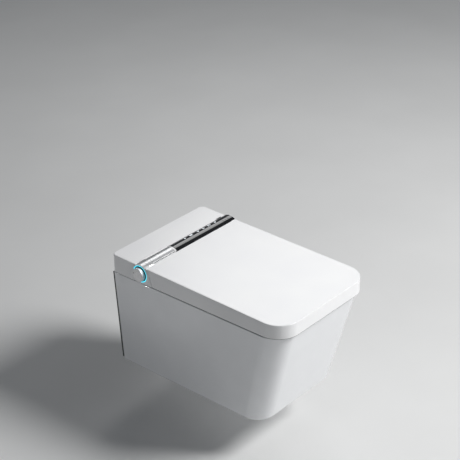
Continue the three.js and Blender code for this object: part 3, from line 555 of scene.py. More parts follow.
# %% bowl skin
def make_bowl():
    foot_r, rim_r, lip_r = 7, 2.2, 7
    rings = [bowl_ring(BOTTOM_Z, 60), bowl_ring(BOTTOM_Z, 20)]
    for i in range(7):
        a = math.radians(90 * i / 6)
        rings.append(bowl_ring(BOTTOM_Z + foot_r * (1 - math.cos(a)), foot_r * (1 - math.sin(a))))
    for i in range(1, 12):
        rings.append(bowl_ring(BOTTOM_Z + foot_r + (RIM_Z - rim_r - BOTTOM_Z - foot_r) * i / 11))
    for i in range(1, 5):
        a = math.radians(90 * i / 4)
        rings.append(bowl_ring(RIM_Z - rim_r * (1 - math.sin(a)), rim_r * (1 - math.cos(a))))
    for i in range(6):
        a = math.radians(90 * i / 5)
        rings.append([(x, y, RIM_Z - lip_r * (1 - math.cos(a)))
                      for x, y, z in basin_ring(RIM_Z, lip_r * (1 - math.sin(a)))])
    for i in range(1, 19):
        share = i / 18
        rings.append(basin_ring(RIM_Z - lip_r - (RIM_Z - lip_r - BASIN["bottom"] - SUMP_R) * share))
    last = rings[-1]
    for i in range(1, 6):
        a = math.radians(90 * i / 5)
        pull = 1 - 0.45 * (1 - math.cos(a))
        drop = SUMP_R * math.sin(a)
        rings.append([(x * pull, SUMP_Y + (y - SUMP_Y) * pull, z - drop) for x, y, z in last])
    return loft("bowl", rings)


# %% [markdown]
# ### Its openings
# Behind the basin the deck has a bay for the spray wand. The waste and the flush water pass through
# the rear wall in round bores, and the flush leaves them by a slot under the rim. The potter cuts
# these in the soft clay, so their corners are large, and exact booleans cut them here.

# %% bowl openings
OUTLET_Z, OUTLET_R, OUTLET_END = -100, 43, -212
FLUSH_Z, FLUSH_R, FLUSH_END = 35, 33, -60
BAY_HALF, BAY_REAR, BAY_FRONT, BAY_DEPTH = 32, -80, -168, 30
SLOT_HALF, SLOT_REAR, SLOT_FRONT = 22.5, -120, -160
bowl = make_bowl()
bay = block("bay", -BAY_HALF, BAY_HALF, BAY_REAR, BAY_FRONT, RIM_Z - BAY_DEPTH, RIM_Z + 10)
soften(bay, 9, 4)
waste = rod("waste", "y", OUTLET_R, 10, OUTLET_END, (0, OUTLET_Z))
flush = rod("flush", "y", FLUSH_R, 10, FLUSH_END, (0, FLUSH_Z))
cut(bowl, bay, waste, flush)
slot_tool = block("slot", -SLOT_HALF, SLOT_HALF, SLOT_REAR, SLOT_FRONT, FLUSH_Z + 6, FLUSH_Z + 20)
cut(bowl, soften(slot_tool, 5, 3))
finish_piece(bowl, "toilet", china, ["ceramic_bowl"], smooth_angle=50)


# %% [markdown]
# ## Housing and lid from one skin
# The housing and the lid read as one block that the hinge line divides, so both are cut from the
# same loft: a plan outline with large front corners, whose top leans forward a little and turns
# down over a tight edge. Two skins, an outer one and one set in by the wall, make each shell. A
# solidify modifier would thicken one skin, but it would not keep the inner corners this even.

# %% the common skin
REAR_CORNER, FRONT_CORNER = 16, 64
CORNER_FINE = 20
EDGE_R = 2.4


def top_z(y):
    return TOP_Z + TOP_FALL * y


def block_outline(inset):
    """The plan outline of housing and lid together, set in by this much."""
    return outline(HALF - inset, BACK_Y - inset, FRONT_Y + inset, REAR_CORNER - inset,
                   FRONT_CORNER - inset, CORNER_FINE)


def skin(name, inset, low_z, lowered=0.0, edge=EDGE_R):
    """The block's plan outline from low_z up to the sloping top, with a rounded top edge."""
    def ring(extra, drop):
        return [(x, y, top_z(y) - lowered - drop) for x, y in block_outline(inset + extra)]
    base = [(x, y, low_z) for x, y, z in ring(0, 0)]
    rings = [base]
    for i in range(7):
        a = math.radians(90 * i / 6)
        rings.append(ring(edge * (1 - math.cos(a)), edge * (1 - math.sin(a))))
    return loft(name, rings)


# %% [markdown]
# ## The rear housing
# The housing is a moulded cover with a cheek at each end, whose front edge bends round the knob and
# then leans back to the foot. The bar of the hinge line is let into it, and behind each pair of
# knuckles a round pocket leaves room for them to swing. Its profile could be drawn by hand, but an
# arc and a tangent line give the same edge as the lid's, so the seam between them is even.

# %% cheek outline
SEAM_R, SEAM_LEAN, SEAM_GAP = 34.2, 18.9, 1.5
knob_low, knob_high = corners("control_knob")
knob_y, knob_z = (knob_low.y + knob_high.y) / 2, (knob_low.z + knob_high.z) / 2


def cheek_points(radius, rear_y, low_z, drop=0.0, above=3.0):
    """Side view of a cheek: its front edge is an arc about the knob and then a leaning line."""
    lean = math.radians(SEAM_LEAN)
    tangent = (knob_y - radius * math.cos(lean), knob_z + radius * math.sin(lean))
    foot_y = tangent[0] - (tangent[1] - low_z) * math.tan(lean)
    start = 180 - math.degrees(math.asin((top_z(knob_y - 25) - drop - knob_z) / radius))
    front = arc((knob_y, knob_z), radius, start, 180 - SEAM_LEAN, 14)
    lifted = [(front[0][0], front[0][1] + above)]
    return [(rear_y, low_z), (rear_y, top_z(rear_y) - drop + above)] + lifted + front[1:] + [(foot_y, low_z)]


# %% housing
WALL = 3
BLOCK_FRONT = -86
CHEEK_X = 170
POCKET_X, POCKET_LEFT_R, POCKET_RIGHT_R = 149.5, 24.7, 27.3
barrel_low, barrel_high = corners("barrel_cover")
lens_low, lens_high = corners("display_lens")
bar_rear, bar_foot = barrel_high.y, barrel_low.z
barrel_front, lens_front = barrel_low.y, lens_low.y
ring_low, ring_high = corners("light_ring")
ring_outer = (ring_high.z - ring_low.z) / 2
unit_z = housing_low.z


def make_housing():
    body = skin("housing", 0, unit_z)
    side = [(20, unit_z - 1), (20, TOP_Z + 9), (bar_rear + 0.3, TOP_Z + 9), (bar_rear + 0.3, bar_foot - 1),
            (BLOCK_FRONT, bar_foot - 1), (BLOCK_FRONT, unit_z - 1)]
    across_side = prism("side", side, -HALF - 9, HALF + 9, "x")
    for sign in (-1, 1):
        low, high = sorted((sign * CHEEK_X, sign * (HALF + 5)))
        cheek = prism("cheek", cheek_points(SEAM_R - SEAM_GAP, BLOCK_FRONT + 6, unit_z - 1), low, high, "x")
        join(across_side, cheek)
    keep_common(body, across_side)
    hollow = skin("hollow", WALL, unit_z - 9, WALL, 1)
    inside = [(20, unit_z - 10), (20, TOP_Z), (BLOCK_FRONT + WALL, TOP_Z), (BLOCK_FRONT + WALL, unit_z - 10)]
    keep_common(hollow, prism("inside", inside, -HALF, HALF, "x"))
    cut(body, hollow)
    for sign, front in ((-1, barrel_front), (1, lens_front)):
        low, high = sorted((sign * (CHEEK_X - 2), sign * (HALF + 3)))
        cut(body, block("bar_slot", low, high, front - 0.3, bar_rear + 0.1, bar_foot - 0.3, TOP_Z + 9))
        low, high = sorted((sign * (CHEEK_X + WALL), sign * (HALF - WALL)))
        room = cheek_points(SEAM_R - WALL - 1, BLOCK_FRONT + 6, unit_z - 5, 11, 0)
        cut(body, prism("cheek_hollow", room, low, high, "x"))
        reach = POCKET_LEFT_R if sign < 0 else POCKET_RIGHT_R
        low, high = sorted((sign * POCKET_X, sign * CHEEK_X))
        cut(body, rod("pocket", "x", reach, low, high, (hinge.y, hinge.z)))
    cut(body, rod("ring_hole", "x", ring_outer + 0.3, -HALF - 5, -HALF + WALL + 1, (knob_y, knob_z), 96))
    window = block("window", -20, 75, BLOCK_FRONT - 2, BLOCK_FRONT + WALL + 2, unit_z - 2, 130)
    return cut(body, window)


housing = make_housing()
soften(housing, 0.5, 2)
finish_piece(housing, "toilet", shell_white, ["housing_cover"])


# %% [markdown]
# ## The lid
# The lid is a thin pressing: a top, a skirt all round the front and sides, and a rear edge rolled
# about the hinge line so that it clears the bar as it swings. Its sides start at the cheeks' seams.
# It is kept from the common skin with a drawn side view, which also rolls the rear edge.

# %% lid shell
skirt_z = lid_low.z
LID_WALL, LID_REAR_R = 4, 28


def make_lid():
    body = skin("lid", 0, skirt_z)
    roll = arc((hinge.y, hinge.z), LID_REAR_R, 180 - 41, 180 + 11, 12)
    front = FRONT_Y - 9
    side = [(front, TOP_Z + 9), (roll[0][0], TOP_Z + 9)] + roll
    side += [(roll[-1][0] - 4, skirt_z - 1), (front, skirt_z - 1)]
    keep_common(body, prism("lid_side", side, -HALF - 9, HALF + 9, "x"))
    cut(body, skin("lid_hollow", LID_WALL, skirt_z - 9, LID_WALL, 2))
    for sign in (-1, 1):
        low, high = sorted((sign * (CHEEK_X - 0.5), sign * (HALF + 5)))
        room = cheek_points(SEAM_R, BLOCK_FRONT + 30, skirt_z - 9, 0, 15)
        cut(body, prism("cheek_room", room, low, high, "x"))
    return body


lid = make_lid()
soften(lid, 0.5, 2)
finish_piece(lid, "lid", shell_white, ["lid_shell"])


# %% [markdown]
# ## Dark strips in the gaps, as painted shadow
# A thin dark strip fills most of the gap between the housing and the ceramic, and another runs under
# the lid's skirt. Both are painted shadow: dark rubber put where these gaps would only be in shade, so
# they draw the fine dark line round the whole object. A dark colour could be painted on the foot of
# the shell, but a strip also has depth.

# %% dark strips as painted shadow
SHADOW_STRIP_INSET, SHADOW_STRIP_WIDE, SHADOW_STRIP_EDGE = 0.7, 2.6, 0.2


def shadow_strip(name, low_z, high_z, rear_y, front_y, body):
    """A dark strip of painted shadow under the block's outline, kept between two places along the length."""
    inner = SHADOW_STRIP_INSET + SHADOW_STRIP_WIDE
    section = ((SHADOW_STRIP_INSET, low_z + SHADOW_STRIP_EDGE), (SHADOW_STRIP_INSET, high_z), (inner, high_z), (inner, low_z),
               (SHADOW_STRIP_INSET + SHADOW_STRIP_EDGE, low_z))
    rings = [[(x, y, z) for x, y in block_outline(inset)] for inset, z in section]
    piece = loft(name, rings, closed=True)
    keep_common(piece, block(f"{name}_span", -HALF - 5, HALF + 5, front_y, rear_y, low_z - 5, high_z + 5))
    return finish_piece(piece, body, rubber)


seam_foot = cheek_points(SEAM_R, BLOCK_FRONT, unit_z)[-1][0]
# Painted shadow: these dark strips stand where the gaps under the lid and the housing would only be in
# shade.
shadow_strip("unit_shadow_strip", RIM_Z + 0.1, unit_z - 0.05, 5, seam_foot + 3, "toilet")
shadow_strip("lid_shadow_strip", skirt_z - 1.5, skirt_z - 0.05, seam_foot - 2, FRONT_Y - 5, "lid")


# %% [markdown]
# ## The bar across the hinge line
# A silver barrel on the left and a black display on the right share one low, round profile. Each is
# an arc over a flat foot. The knuckles of seat and lid carry the same profile, so the bar looks
# whole while the lid is shut, and its ends are let into the cheeks. A plain tube would be quicker,
# but the real covers are caps with feet, so a side view is drawn and pulled along the bar.

# %% bar profiles
BARREL_R = barrel_high.z - knob_z
LENS_R = 35
LENS_CENTRE = (-111.5, lens_high.z - LENS_R)
COVER_WALL = 2.5


def cap_points(radius, centre, rear, front, foot, shrink=0.0):
    """Side view of a cap, from its rear foot over the top to its front foot."""
    radius -= shrink
    rear -= shrink
    front += shrink
    angles = [math.degrees(math.acos((y - centre[0]) / radius)) for y in (rear, front)]
    return [(rear, foot)] + arc(centre, radius, angles[0], angles[1], 28) + [(front, foot)]


def barrel_points(shrink=0.0):
    return cap_points(BARREL_R, (hinge.y, knob_z), bar_rear, barrel_front, bar_foot - shrink, shrink)


def lens_points(shrink=0.0):
    return cap_points(LENS_R, LENS_CENTRE, bar_rear, lens_front, bar_foot - shrink, shrink)


# %% [markdown]
# ### Its covers
# The barrel and the display are thin caps, open below, and each ends in a short solid tip that is
# let into a cheek. The tip beside the knob is cut round for the light ring. Two prisms, one inside
# the other, make each cap, because a wall made by a modifier would close its foot.

# %% barrel cover and display lens
def cap_shell(name, points, low_x, high_x):
    hollow = prism("hollow", points(COVER_WALL), low_x + COVER_WALL, high_x - COVER_WALL, "x")
    return cut(prism(name, points(), low_x, high_x, "x"), hollow)


barrel = soften(cap_shell("barrel", barrel_points, barrel_low.x, barrel_high.x), 0.35, 2)
finish_piece(barrel, "toilet", satin, ["barrel_cover"])
lens = soften(cap_shell("lens", lens_points, lens_low.x, lens_high.x), 0.35, 2)
finish_piece(lens, "toilet", acrylic, ["display_lens"])

# %% the ends of the bar
RING_ROOM, RING_DEPTH = 0.3, 3.3
barrel_end_low, barrel_end_high = corners("barrel_end")
barrel_tip = prism("barrel_tip", barrel_points(), barrel_end_low.x, barrel_end_high.x, "x")
cut(barrel_tip, rod("ring_room", "x", ring_outer + RING_ROOM, -HALF - 5, -HALF + RING_DEPTH,
                    (knob_y, knob_z), 96))
finish_piece(soften(barrel_tip, 0.35, 2), "toilet", satin, ["barrel_end"])
lens_end_low, lens_end_high = corners("lens_end")
lens_tip = soften(prism("lens_tip", lens_points(), lens_end_low.x, lens_end_high.x, "x"), 0.35, 2)
finish_piece(lens_tip, "toilet", acrylic, ["lens_end"])


# %% [markdown]
# ## Knuckles and arms
# Four knuckles turn on two fixed pins: the lid's outside, the seat's inside. Each is a disc about the
# hinge line with the bar's cap on top and an arm that runs to its panel. Separate pieces could be
# stacked, but a joined solid gives one clean edge to bevel where cap and disc meet.

# %% knuckles
KNUCKLE_R, PIN_BORE_R = 22, 5.4


def arm_points(part):
    """Side view of the arm: the seat's drops to the ring, the lid's runs level under the top."""
    if part == "seat":
        return [(hinge.y, 118), (hinge.y - 18, 112), (-145.7, 111), (-145.7, 131),
                (hinge.y - 18, 147.3), (hinge.y, 147.3)]
    return [(hinge.y, hinge.z - 2), (-168, 141.3), (-168, 150), (-152, 150), (-140, 145), (-128, 144),
            (hinge.y, 148.3)]


def make_knuckle(name, part, side):
    low, high = corners(f"{part}_hinge_{side}")
    profile = barrel_points if side == "left" else lens_points
    piece = prism(name, circle((hinge.y, hinge.z), KNUCKLE_R, 96), low.x, high.x, "x")
    join(piece, prism("cap", profile(), low.x, high.x, "x"))
    join(piece, prism("arm", arm_points(part), low.x, high.x, "x"))
    cut(piece, rod("bore", "x", PIN_BORE_R, low.x - 3, high.x + 3, (hinge.y, hinge.z), 48))
    soften(piece, 0.35, 2)
    material = satin if side == "left" else acrylic
    return finish_piece(piece, part, material, [f"{part}_hinge_{side}"])


for part in ("seat", "lid"):
    for side in ("left", "right"):
        make_knuckle(f"{part}_knuckle_{side}", part, side)


# %% [markdown]
# ## Front cover
# Under the bar a white apron closes the unit towards the basin. Its front rolls round the hinge line
# and it has two windows: one for the spray wand, one for the warm air flap. A white rib rises from it
# between the barrel and the display. It could be one bent sheet, but it is moulded as a box with an
# open back, so a side view is pulled along, hollowed and pierced.

# %% front cover
cover_low, cover_high = corners("front_cover")
APRON_R, APRON_Y = 26, -130


def apron_points(inset=0.0):
    top = bar_foot - 0.3 - inset
    angle = 180 - math.degrees(math.asin((top - hinge.z) / (APRON_R - inset)))
    low_angle = 180 + math.degrees(math.acos((hinge.y - APRON_Y - inset) / (APRON_R - inset)))
    low = cover_low.z - inset * 3
    rear = cover_high.y - inset
    front = arc((hinge.y, hinge.z), APRON_R - inset, angle, low_angle, 20)
    back = [(rear, low), (rear, top - 1), (bar_rear, top - 1), (bar_rear, top)]
    return back + front + [(front[-1][0], low)]


front_cover = prism("apron", apron_points(), cover_low.x, cover_high.x, "x")
inner_left, inner_right = cover_low.x + COVER_WALL, cover_high.x - COVER_WALL
cut(front_cover, prism("apron_hollow", apron_points(COVER_WALL), inner_left, inner_right, "x"))
cut(front_cover, block("apron_back", inner_left, inner_right, -90, -83, 98, 147))
rib_x = (barrel_high.x + 0.3, lens_low.x - 0.3)
rib_points = cap_points(BARREL_R, (hinge.y, knob_z), bar_rear, barrel_front, bar_foot - 1)
join(front_cover, prism("rib", rib_points, *rib_x, "x"))
flap_low, flap_high = corners("dryer_flap")
windows = [block("wand_window", -12, 12, -140, -124, 100, 112),
           block("air_window", flap_low.x - 1, flap_high.x + 1, -140, -124, 100, flap_high.z + 1.3)]
cut(front_cover, *windows)
soften(front_cover, 0.4, 2)
finish_piece(front_cover, "toilet", shell_white, ["front_cover"])

# %% [markdown]
# ### The air flap
# A small door hangs at the top of the air window and is pushed open by the warm air. Three shallow
# grooves are moulded across its face, and are cut here one by one so that they stay crisp.

# %% air flap
flap = prism("air_flap", outline(15, 5.4, -5.4, 1.2, 1.2, 6), flap_low.y, flap_high.y, "y")
flap_middle = (flap_low + flap_high) / 2
for corner_point in flap.data.vertices:
    corner_point.co.x += flap_middle.x * MM
    corner_point.co.z += flap_middle.z * MM
GROOVE_PITCH, GROOVE_HALF, GROOVE_DEPTH = 7.5, 2.6, 0.5
for i in range(3):
    x = flap_middle.x + (i - 1) * GROOVE_PITCH
    cut(flap, block("groove", x - GROOVE_HALF, x + GROOVE_HALF, flap_low.y - 1,
                    flap_low.y + GROOVE_DEPTH, flap_low.z + 2.2, flap_low.z + 3))
soften(flap, 0.3, 2)
finish_piece(flap, "flap", shell_white, ["dryer_flap"])


# %% [markdown]
# ## Lit symbols behind the display
# Icons and two readouts glow through the black acrylic, in a row behind its crest. They are generic:
# a drop, two seven-segment numbers, a fan, a seat and a sun. Each stroke is a thin strip that lies on
# the curve of the lens, a tenth of a millimetre proud so that it shows. A pattern in the acrylic
# could draw them too, but thin strips keep the strokes sharp and need no picture.

# %% strokes on the lens
def lens_top(y):
    return LENS_CENTRE[1] + math.sqrt(LENS_R ** 2 - (y - LENS_CENTRE[0]) ** 2)


STROKE_WIDE, STROKE_PROUD, STROKE_SUNK = 1.15, 0.1, 0.25


def stroke(points):
    """A flat ribbon along (x, y) points, pressed on to the lens; it returns its rings."""
    rings = []
    for i, point in enumerate(points):
        before, after = Vector(points[max(i - 1, 0)]), Vector(points[min(i + 1, len(points) - 1)])
        along = (after - before).normalized()
        side = Vector((-along.y, along.x)) * STROKE_WIDE / 2
        a, b = Vector(point) + side, Vector(point) - side
        rings.append([(a.x, a.y, lens_top(a.y) - STROKE_SUNK), (a.x, a.y, lens_top(a.y) + STROKE_PROUD),
                      (b.x, b.y, lens_top(b.y) + STROKE_PROUD), (b.x, b.y, lens_top(b.y) - STROKE_SUNK)])
    return rings


SEGMENTS = {"a": ((0, 2), (1, 2)), "b": ((1, 2), (1, 1)), "c": ((1, 1), (1, 0)), "d": ((1, 0), (0, 0)),
            "e": ((0, 0), (0, 1)), "f": ((0, 1), (0, 2)), "g": ((0, 1), (1, 1))}
DIGITS = {"2": "abged", "3": "abgcd", "5": "afgcd", "8": "abcdefg"}


def digit(character, x, y):
    wide, tall = 3.4, 3.0
    lines = []
    for name in DIGITS[character]:
        (ax, ay), (bx, by) = SEGMENTS[name]
        start, end = Vector((x + ax * wide, y + ay * tall)), Vector((x + bx * wide, y + by * tall))
        trim = (end - start).normalized() * 0.35
        lines.append([tuple(start + trim), tuple(end - trim)])
    return lines


def loop(x, y, radius, start=0, end=360, steps=14):
    return arc((x, y), radius, start, end, steps)


# %% the row of symbols
def symbol_lines():
    row = -104.5
    lines = [loop(2, row - 0.6, 2.1, 130, 410), [(0.6, row + 0.9), (2, row + 3.6), (3.4, row + 0.9)]]
    lines += digit("3", 21, row - 3) + digit("8", 27, row - 3) + [loop(33.5, row + 2.6, 0.7)]
    for a in (0.5, 2.6, 4.7):
        lines.append(loop(57 + 2.0 * math.cos(a), row + 2.0 * math.sin(a), 1.3, 0, 300, 8))
    lines += [loop(79, row, 3.1, 200, 500), [(76.4, row + 2.6), (76.4, row - 3), (78.6, row - 3)]]
    lines += digit("2", 98, row - 3) + digit("5", 104, row - 3) + [loop(110.5, row + 2.6, 0.7)]
    lines += [loop(129, row, 1.5)]
    for i in range(8):
        a = math.radians(45 * i)
        lines.append([(129 + r * math.cos(a), row + r * math.sin(a)) for r in (2.4, 3.6)])
    return lines


def join_strokes(name, lines):
    bm = bmesh.new()
    for line in lines:
        rows = [[bm.verts.new(point) for point in ring] for ring in stroke(line)]
        for low, high in zip(rows, rows[1:]):
            for i in range(4):
                j = (i + 1) % 4
                bm.faces.new((low[i], low[j], high[j], high[i]))
        bm.faces.new(reversed(rows[0]))
        bm.faces.new(rows[-1])
    return to_object(name, bm)


symbols = join_strokes("display_symbols", symbol_lines())
finish_piece(symbols, "toilet", symbol_white)


# %% [markdown]
# ## The knob
# The knob is turned from aluminium and bead blasted. Its rim is fluted for grip, its face is dished
# by 0.7 mm inside a lip, and one small dark dot marks its place. A screw modifier could turn it, but
# rings worked out by angle can also carry the flutes.

# %% knob
def turned(profile, steps=120, flutes=0, depth=0.0, fluted=()):
    """Turns (x, radius) pairs about the knob's axis; the rows named in fluted get a wavy radius."""
    rings = []
    for row, (x, radius) in enumerate(profile):
        ring = []
        for i in range(steps):
            a = math.tau * i / steps
            r = radius - (depth * 0.5 * (1 + math.cos(flutes * a)) if row in fluted else 0)
            ring.append((x, knob_y + r * math.cos(a), knob_z + r * math.sin(a)))
        rings.append(ring)
    return rings


face_x, back_x = knob_low.x, knob_high.x
KNOB_R = (knob_high.z - knob_low.z) / 2
knob_profile = [
    (face_x + 0.7, 0.01), (face_x + 0.7, KNOB_R - 3.0), (face_x + 0.62, KNOB_R - 2.6),
    (face_x + 0.1, KNOB_R - 2.1), (face_x, KNOB_R - 1.8), (face_x + 0.02, KNOB_R - 1.1),
    (face_x + 0.35, KNOB_R - 0.45), (face_x + 1.0, KNOB_R - 0.12), (face_x + 1.8, KNOB_R),
    (face_x + 2.2, KNOB_R), (back_x - 1.6, KNOB_R), (back_x - 1.1, KNOB_R),
    (back_x - 0.3, KNOB_R - 0.25), (back_x, KNOB_R - 0.8), (back_x, KNOB_R - 2.5),
    (face_x + 4.2, KNOB_R - 2.5), (face_x + 4, KNOB_R - 3), (face_x + 4, 0.01)]
knob = loft("knob", turned(knob_profile, 240, 48, 0.7, (9, 10)))
finish_piece(knob, "knob", knob_silver, ["control_knob"], smooth_angle=50)

dot = loft("knob_dot", [[(face_x + 0.55 - d, y, z) for y, z in circle((knob_y + 14.2, knob_z + 3.4), r, 28)]
                        for d, r in ((-0.3, 1.5), (0, 1.5), (0.12, 1.35))])
finish_piece(dot, "knob", acrylic)


# %% [markdown]
# ### Bezel and light ring
# Behind the knob sit a dark nylon bezel and a clear ring that carries the light round it, flush with
# the housing's side. Both are turned from a closed profile, so they are true rings with a hole.

# %% bezel and light ring
bezel_low, bezel_high = corners("knob_bezel")
bezel_r = (bezel_high.z - bezel_low.z) / 2
bezel_profile = [
    (bezel_high.x, 3.6), (bezel_low.x + 1.4, 3.6), (bezel_low.x + 1.4, bezel_r - 4.4),
    (bezel_low.x + 1.1, bezel_r - 3.6), (bezel_low.x + 0.3, bezel_r - 1.5),
    (bezel_low.x, bezel_r - 0.9), (bezel_low.x, bezel_r - 0.3),
    (bezel_low.x + 0.3, bezel_r), (bezel_high.x, bezel_r)]
bezel = loft("bezel", turned(bezel_profile), closed=True)
finish_piece(bezel, "toilet", dark_nylon, ["knob_bezel"])

GUIDE_BULGE = 0.5
ring_inner = ring_outer - 2
ring_middle = (ring_inner + ring_outer) / 2
guide_profile = [(ring_high.x, ring_inner), (ring_low.x + GUIDE_BULGE, ring_inner)]
for a in range(0, 181, 20):
    turn_to = math.radians(a)
    guide_profile.append((ring_low.x + GUIDE_BULGE - GUIDE_BULGE * math.sin(turn_to),
                          ring_middle - math.cos(turn_to)))
guide_profile.append((ring_high.x, ring_outer))
light_guide = loft("light_guide", turned(guide_profile, 160), closed=True)
finish_piece(light_guide, "toilet", led_cyan, ["light_ring"])


# %% [markdown]
# ## The seat ring
# A heated seat is two pressings glued round a cavity. Its outline follows the lid and its opening is
# an egg. Its top could be sculpted, but its section hardly changes, so a closed loft runs once round
# it: up the outer side, over a top that is a little lower at the opening, down and back underneath.

# %% seat outlines
seat_low, seat_high = corners("seat_top")
seat_base = corners("seat_bottom")[0].z
SPLIT_Z = seat_low.z
SEAT_REAR_R, SEAT_FRONT_R = 36, 54
HOLE = {"half": 108, "rear": -196, "front": -512, "rear_r": 78, "front_r": 98}


def seat_outer(inset, z):
    points = outline(seat_high.x - inset, seat_high.y - inset, seat_low.y + inset,
                     SEAT_REAR_R - inset, SEAT_FRONT_R - inset)
    return [(x, y, z) for x, y in points]


def seat_hole(grow, z):
    points = outline(HOLE["half"] + grow, HOLE["rear"] + grow, HOLE["front"] - grow,
                     HOLE["rear_r"] + grow, HOLE["front_r"] + grow)
    return [(x, y, z) for x, y in points]


def seat_between(share, z):
    pairs = zip(seat_outer(0, z), seat_hole(0, z))
    return [tuple(a + (b - a) * share for a, b in zip(outer, inner)) for outer, inner in pairs]


def quarter_rings(make, radius, centre_z, start, end, steps=5):
    """Rings round a rounded edge of the section; make(inset, z) draws one ring."""
    angles = [math.radians(start + (end - start) * i / steps) for i in range(steps + 1)]
    return [make(radius * (1 - math.cos(a)), centre_z + radius * math.sin(a)) for a in angles]


# %% seat ring and underside
def make_seat_top():
    crown, dip = seat_high.z, 3.2
    rings = [seat_outer(0.4, SPLIT_Z), seat_outer(0, SPLIT_Z + 0.4)]
    rings += quarter_rings(seat_outer, 7, crown - 7, 0, 86)
    rings += [seat_between(share, crown - fall) for share, fall in ((0.3, 0.2), (0.5, 0.8), (0.7, 1.8))]
    rings += quarter_rings(seat_hole, 9, crown - dip - 9, 84, 0)
    rings += [seat_hole(0, SPLIT_Z + 0.4), seat_hole(0.4, SPLIT_Z), seat_hole(4, SPLIT_Z)]
    rings += [seat_hole(4, crown - dip - 6), seat_outer(6, crown - 5), seat_outer(4, SPLIT_Z)]
    return loft("seat_ring", rings, closed=True)


def make_seat_base():
    top = SPLIT_Z - 0.3
    rings = [seat_outer(0.5, top), seat_outer(0, top - 0.5)]
    rings += quarter_rings(seat_outer, 2.2, seat_base + 2.2, 0, -90, 4)
    rings += [seat_outer(12, seat_base), seat_outer(13.5, seat_base + 1.5), seat_hole(12.5, seat_base + 1.5)]
    rings += [seat_hole(11, seat_base)] + quarter_rings(seat_hole, 2.2, seat_base + 2.2, -90, 0, 4)
    rings += [seat_hole(0, top - 0.5), seat_hole(0.5, top)]
    return loft("seat_underside", rings, closed=True)


seat_ring = make_seat_top()
finish_piece(seat_ring, "seat", seat_white, ["seat_top"], smooth_angle=40)
seat_underside = make_seat_base()
finish_piece(seat_underside, "seat", inner_white, ["seat_bottom"], smooth_angle=40)


# %% [markdown]
# ## Lid liner
# The inner face of the lid is a second pressing. A shallow step runs round it, which stiffens it and
# hides any waviness. It slopes with the lid's top and carries the lid's two rubber buffers. An inset
# and an extrude could make the step, but rings at named depths keep it even round the corners.

# %% liner
liner_low, liner_high = corners("lid_liner")
LINER_DROP, LINER_THICK = 4.3, 4
LINER_REAR_R, LINER_FRONT_R = 5, FRONT_CORNER - 4.3


def liner_ring(inset, drop):
    points = outline(liner_high.x - inset, liner_high.y - inset, liner_low.y + inset,
                     LINER_REAR_R, LINER_FRONT_R - inset, CORNER_FINE)
    return [(x, y, top_z(y) - LINER_DROP - drop) for x, y in points]


def make_liner():
    rings = [liner_ring(3, 0), liner_ring(0.3, 0), liner_ring(0, 0.3), liner_ring(0, LINER_THICK - 1.2)]
    rings += [liner_ring(0.4, LINER_THICK - 0.4), liner_ring(1.2, LINER_THICK)]
    step = ((19, 0), (20, 0.2), (22.4, 1.5), (23.6, 1.7))
    rings += [liner_ring(inset, LINER_THICK - rise) for inset, rise in step]
    return loft("lid_liner_panel", rings)


liner = make_liner()
finish_piece(liner, "lid", inner_white, ["lid_liner"], smooth_angle=40)


# %% [markdown]
# ## Buffers
# The rubber feet are turned pads with a rounded rim and a dimple, pushed into the seat and the lid.
# A primitive cylinder would show a hard rim, so a lofted profile makes each one, as high as the gap
# that it fills.

# %% buffers
def pad(name, node, body):
    low, high = corners(node)
    centre = (low + high) / 2
    radius, thick = (high.x - low.x) / 2, high.z - low.z
    profile = [(0.6, 0.01), (0, radius * 0.3), (0, radius * 0.72), (0.5, radius * 0.88),
               (thick * 0.3, radius), (thick * 0.55, radius), (thick * 0.6, radius * 0.82),
               (thick, radius * 0.82)]
    piece = loft(name, [[(x, y, low.z + height) for x, y in circle((centre.x, centre.y), r, 36)]
                        for height, r in profile])
    return finish_piece(piece, body, rubber, [node], smooth_angle=48)


for side in ("left", "right"):
    for end in ("rear", "front"):
        pad(f"seat_foot_{end}_{side}", f"seat_buffer_{end}_{side}", "seat")
    pad(f"lid_foot_{side}", f"lid_buffer_{side}", "lid")


# %% [markdown]
# ## Spray wand
# The wand is a thin stainless tube with a white head. It slides down at a slope, so the pieces are
# lofted straight along their own sloping line. They could be made upright and rotated, but then the
# slope would be in the object and not in the mesh. The head is round with three spray holes above.

# %% wand
slide = next(j for j in frame["joints"] if j["name"] == "nozzle_slide")
slope = math.asin(-slide["axis"][2])
tip_low, tip_high = corners("nozzle_tip")
tube_low, tube_high = corners("nozzle_tube")
TIP_R, WAND_R, TIP_LONG, TIP_GAP, WAND_BORE_R = 8, 7.2, 8, 0.3, 5
HOLE_ALONG, HOLE_PITCH, HOLE_R, HOLE_DEPTH = 5.2, 2.8, 0.7, 1.5
wand_long = (tube_high.y - tube_low.y - 2 * WAND_R * math.sin(slope)) / math.cos(slope) + TIP_LONG + TIP_GAP
tip_centre = Vector((0, (tip_low.y + tip_high.y) / 2 - TIP_LONG / 2 * math.cos(slope),
                     (tip_low.z + tip_high.z) / 2 - TIP_LONG / 2 * math.sin(slope)))


def on_wand_line(along, radius, steps=48):
    """A ring about the wand's line, this far up from the tip."""
    ring = []
    for i in range(steps):
        a = math.tau * i / steps
        side, lift = radius * math.cos(a), radius * math.sin(a)
        ring.append((side, tip_centre.y + along * math.cos(slope) - lift * math.sin(slope),
                     tip_centre.z + along * math.sin(slope) + lift * math.cos(slope)))
    return ring


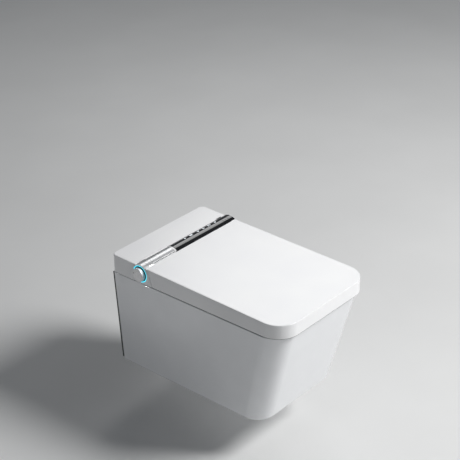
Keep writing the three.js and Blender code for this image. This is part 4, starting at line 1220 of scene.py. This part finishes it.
# %% wand head
head_profile = [(0, 0.01), (0, 4.2), (0.25, 5.6), (1.0, 6.9), (2.2, 7.7), (3.6, TIP_R), (7.4, TIP_R),
                (TIP_LONG, 7.5)]
head = loft("wand_head", [on_wand_line(along, r) for along, r in head_profile])
for i in range(3):
    rings = []
    for lift in (TIP_R - HOLE_DEPTH, TIP_R + 1):
        middle = (tip_centre.y + HOLE_ALONG * math.cos(slope) - lift * math.sin(slope),
                  tip_centre.z + HOLE_ALONG * math.sin(slope) + lift * math.cos(slope))
        rings.append([((i - 1) * HOLE_PITCH + u, middle[0] + v * math.cos(slope),
                       middle[1] + v * math.sin(slope)) for u, v in circle((0, 0), HOLE_R, 16)])
    cut(head, loft("spray_hole", rings))
finish_piece(head, "nozzle", inner_white, ["nozzle_tip"], smooth_angle=40)

# %% wand tube
tube_start, tube_edge = TIP_LONG + TIP_GAP, 0.4
tube_profile = [(tube_start, WAND_BORE_R), (tube_start, WAND_R - tube_edge),
                (tube_start + tube_edge, WAND_R), (wand_long - tube_edge, WAND_R),
                (wand_long, WAND_R - tube_edge), (wand_long, WAND_BORE_R)]
wand = loft("wand_tube", [on_wand_line(along, r) for along, r in tube_profile], closed=True)
finish_piece(wand, "nozzle", steel, ["nozzle_tube"], smooth_angle=40)
print("wand", round(wand_long, 1), "mm at", round(math.degrees(slope), 1), "degrees")


# %% [markdown]
# ## Finishes for the pieces that keep their CAD shape
# The pieces inside the unit, the fixings and the pipes are already the right shape. Each could be
# drawn again, but it keeps its mesh and takes the finish of its slot, so that nothing is left plain
# when the model is opened.

# %% finishes by slot
finishes = {
    "glazed_ceramic": china, "white_plastic": inner_white, "grey_plastic": grey_abs,
    "dark_plastic": dark_nylon, "black_gloss": acrylic, "satin_metal": satin, "steel": steel,
    "brass": brass, "rubber": rubber, "circuit_board": board_green, "cyan_light": led_cyan}
kept = 0
for name, node in frame["nodes"].items():
    for material_slot in node.material_slots:
        slot_name = "dark_plastic" if name == "base_plate" else material_slot.material.name.split(".")[0]
        if slot_name in finishes:
            material_slot.link = "OBJECT"
            material_slot.material = finishes[slot_name]
            kept += 1
        else:
            print("no finish for", name, slot_name)
print("finished", kept, "CAD nodes")
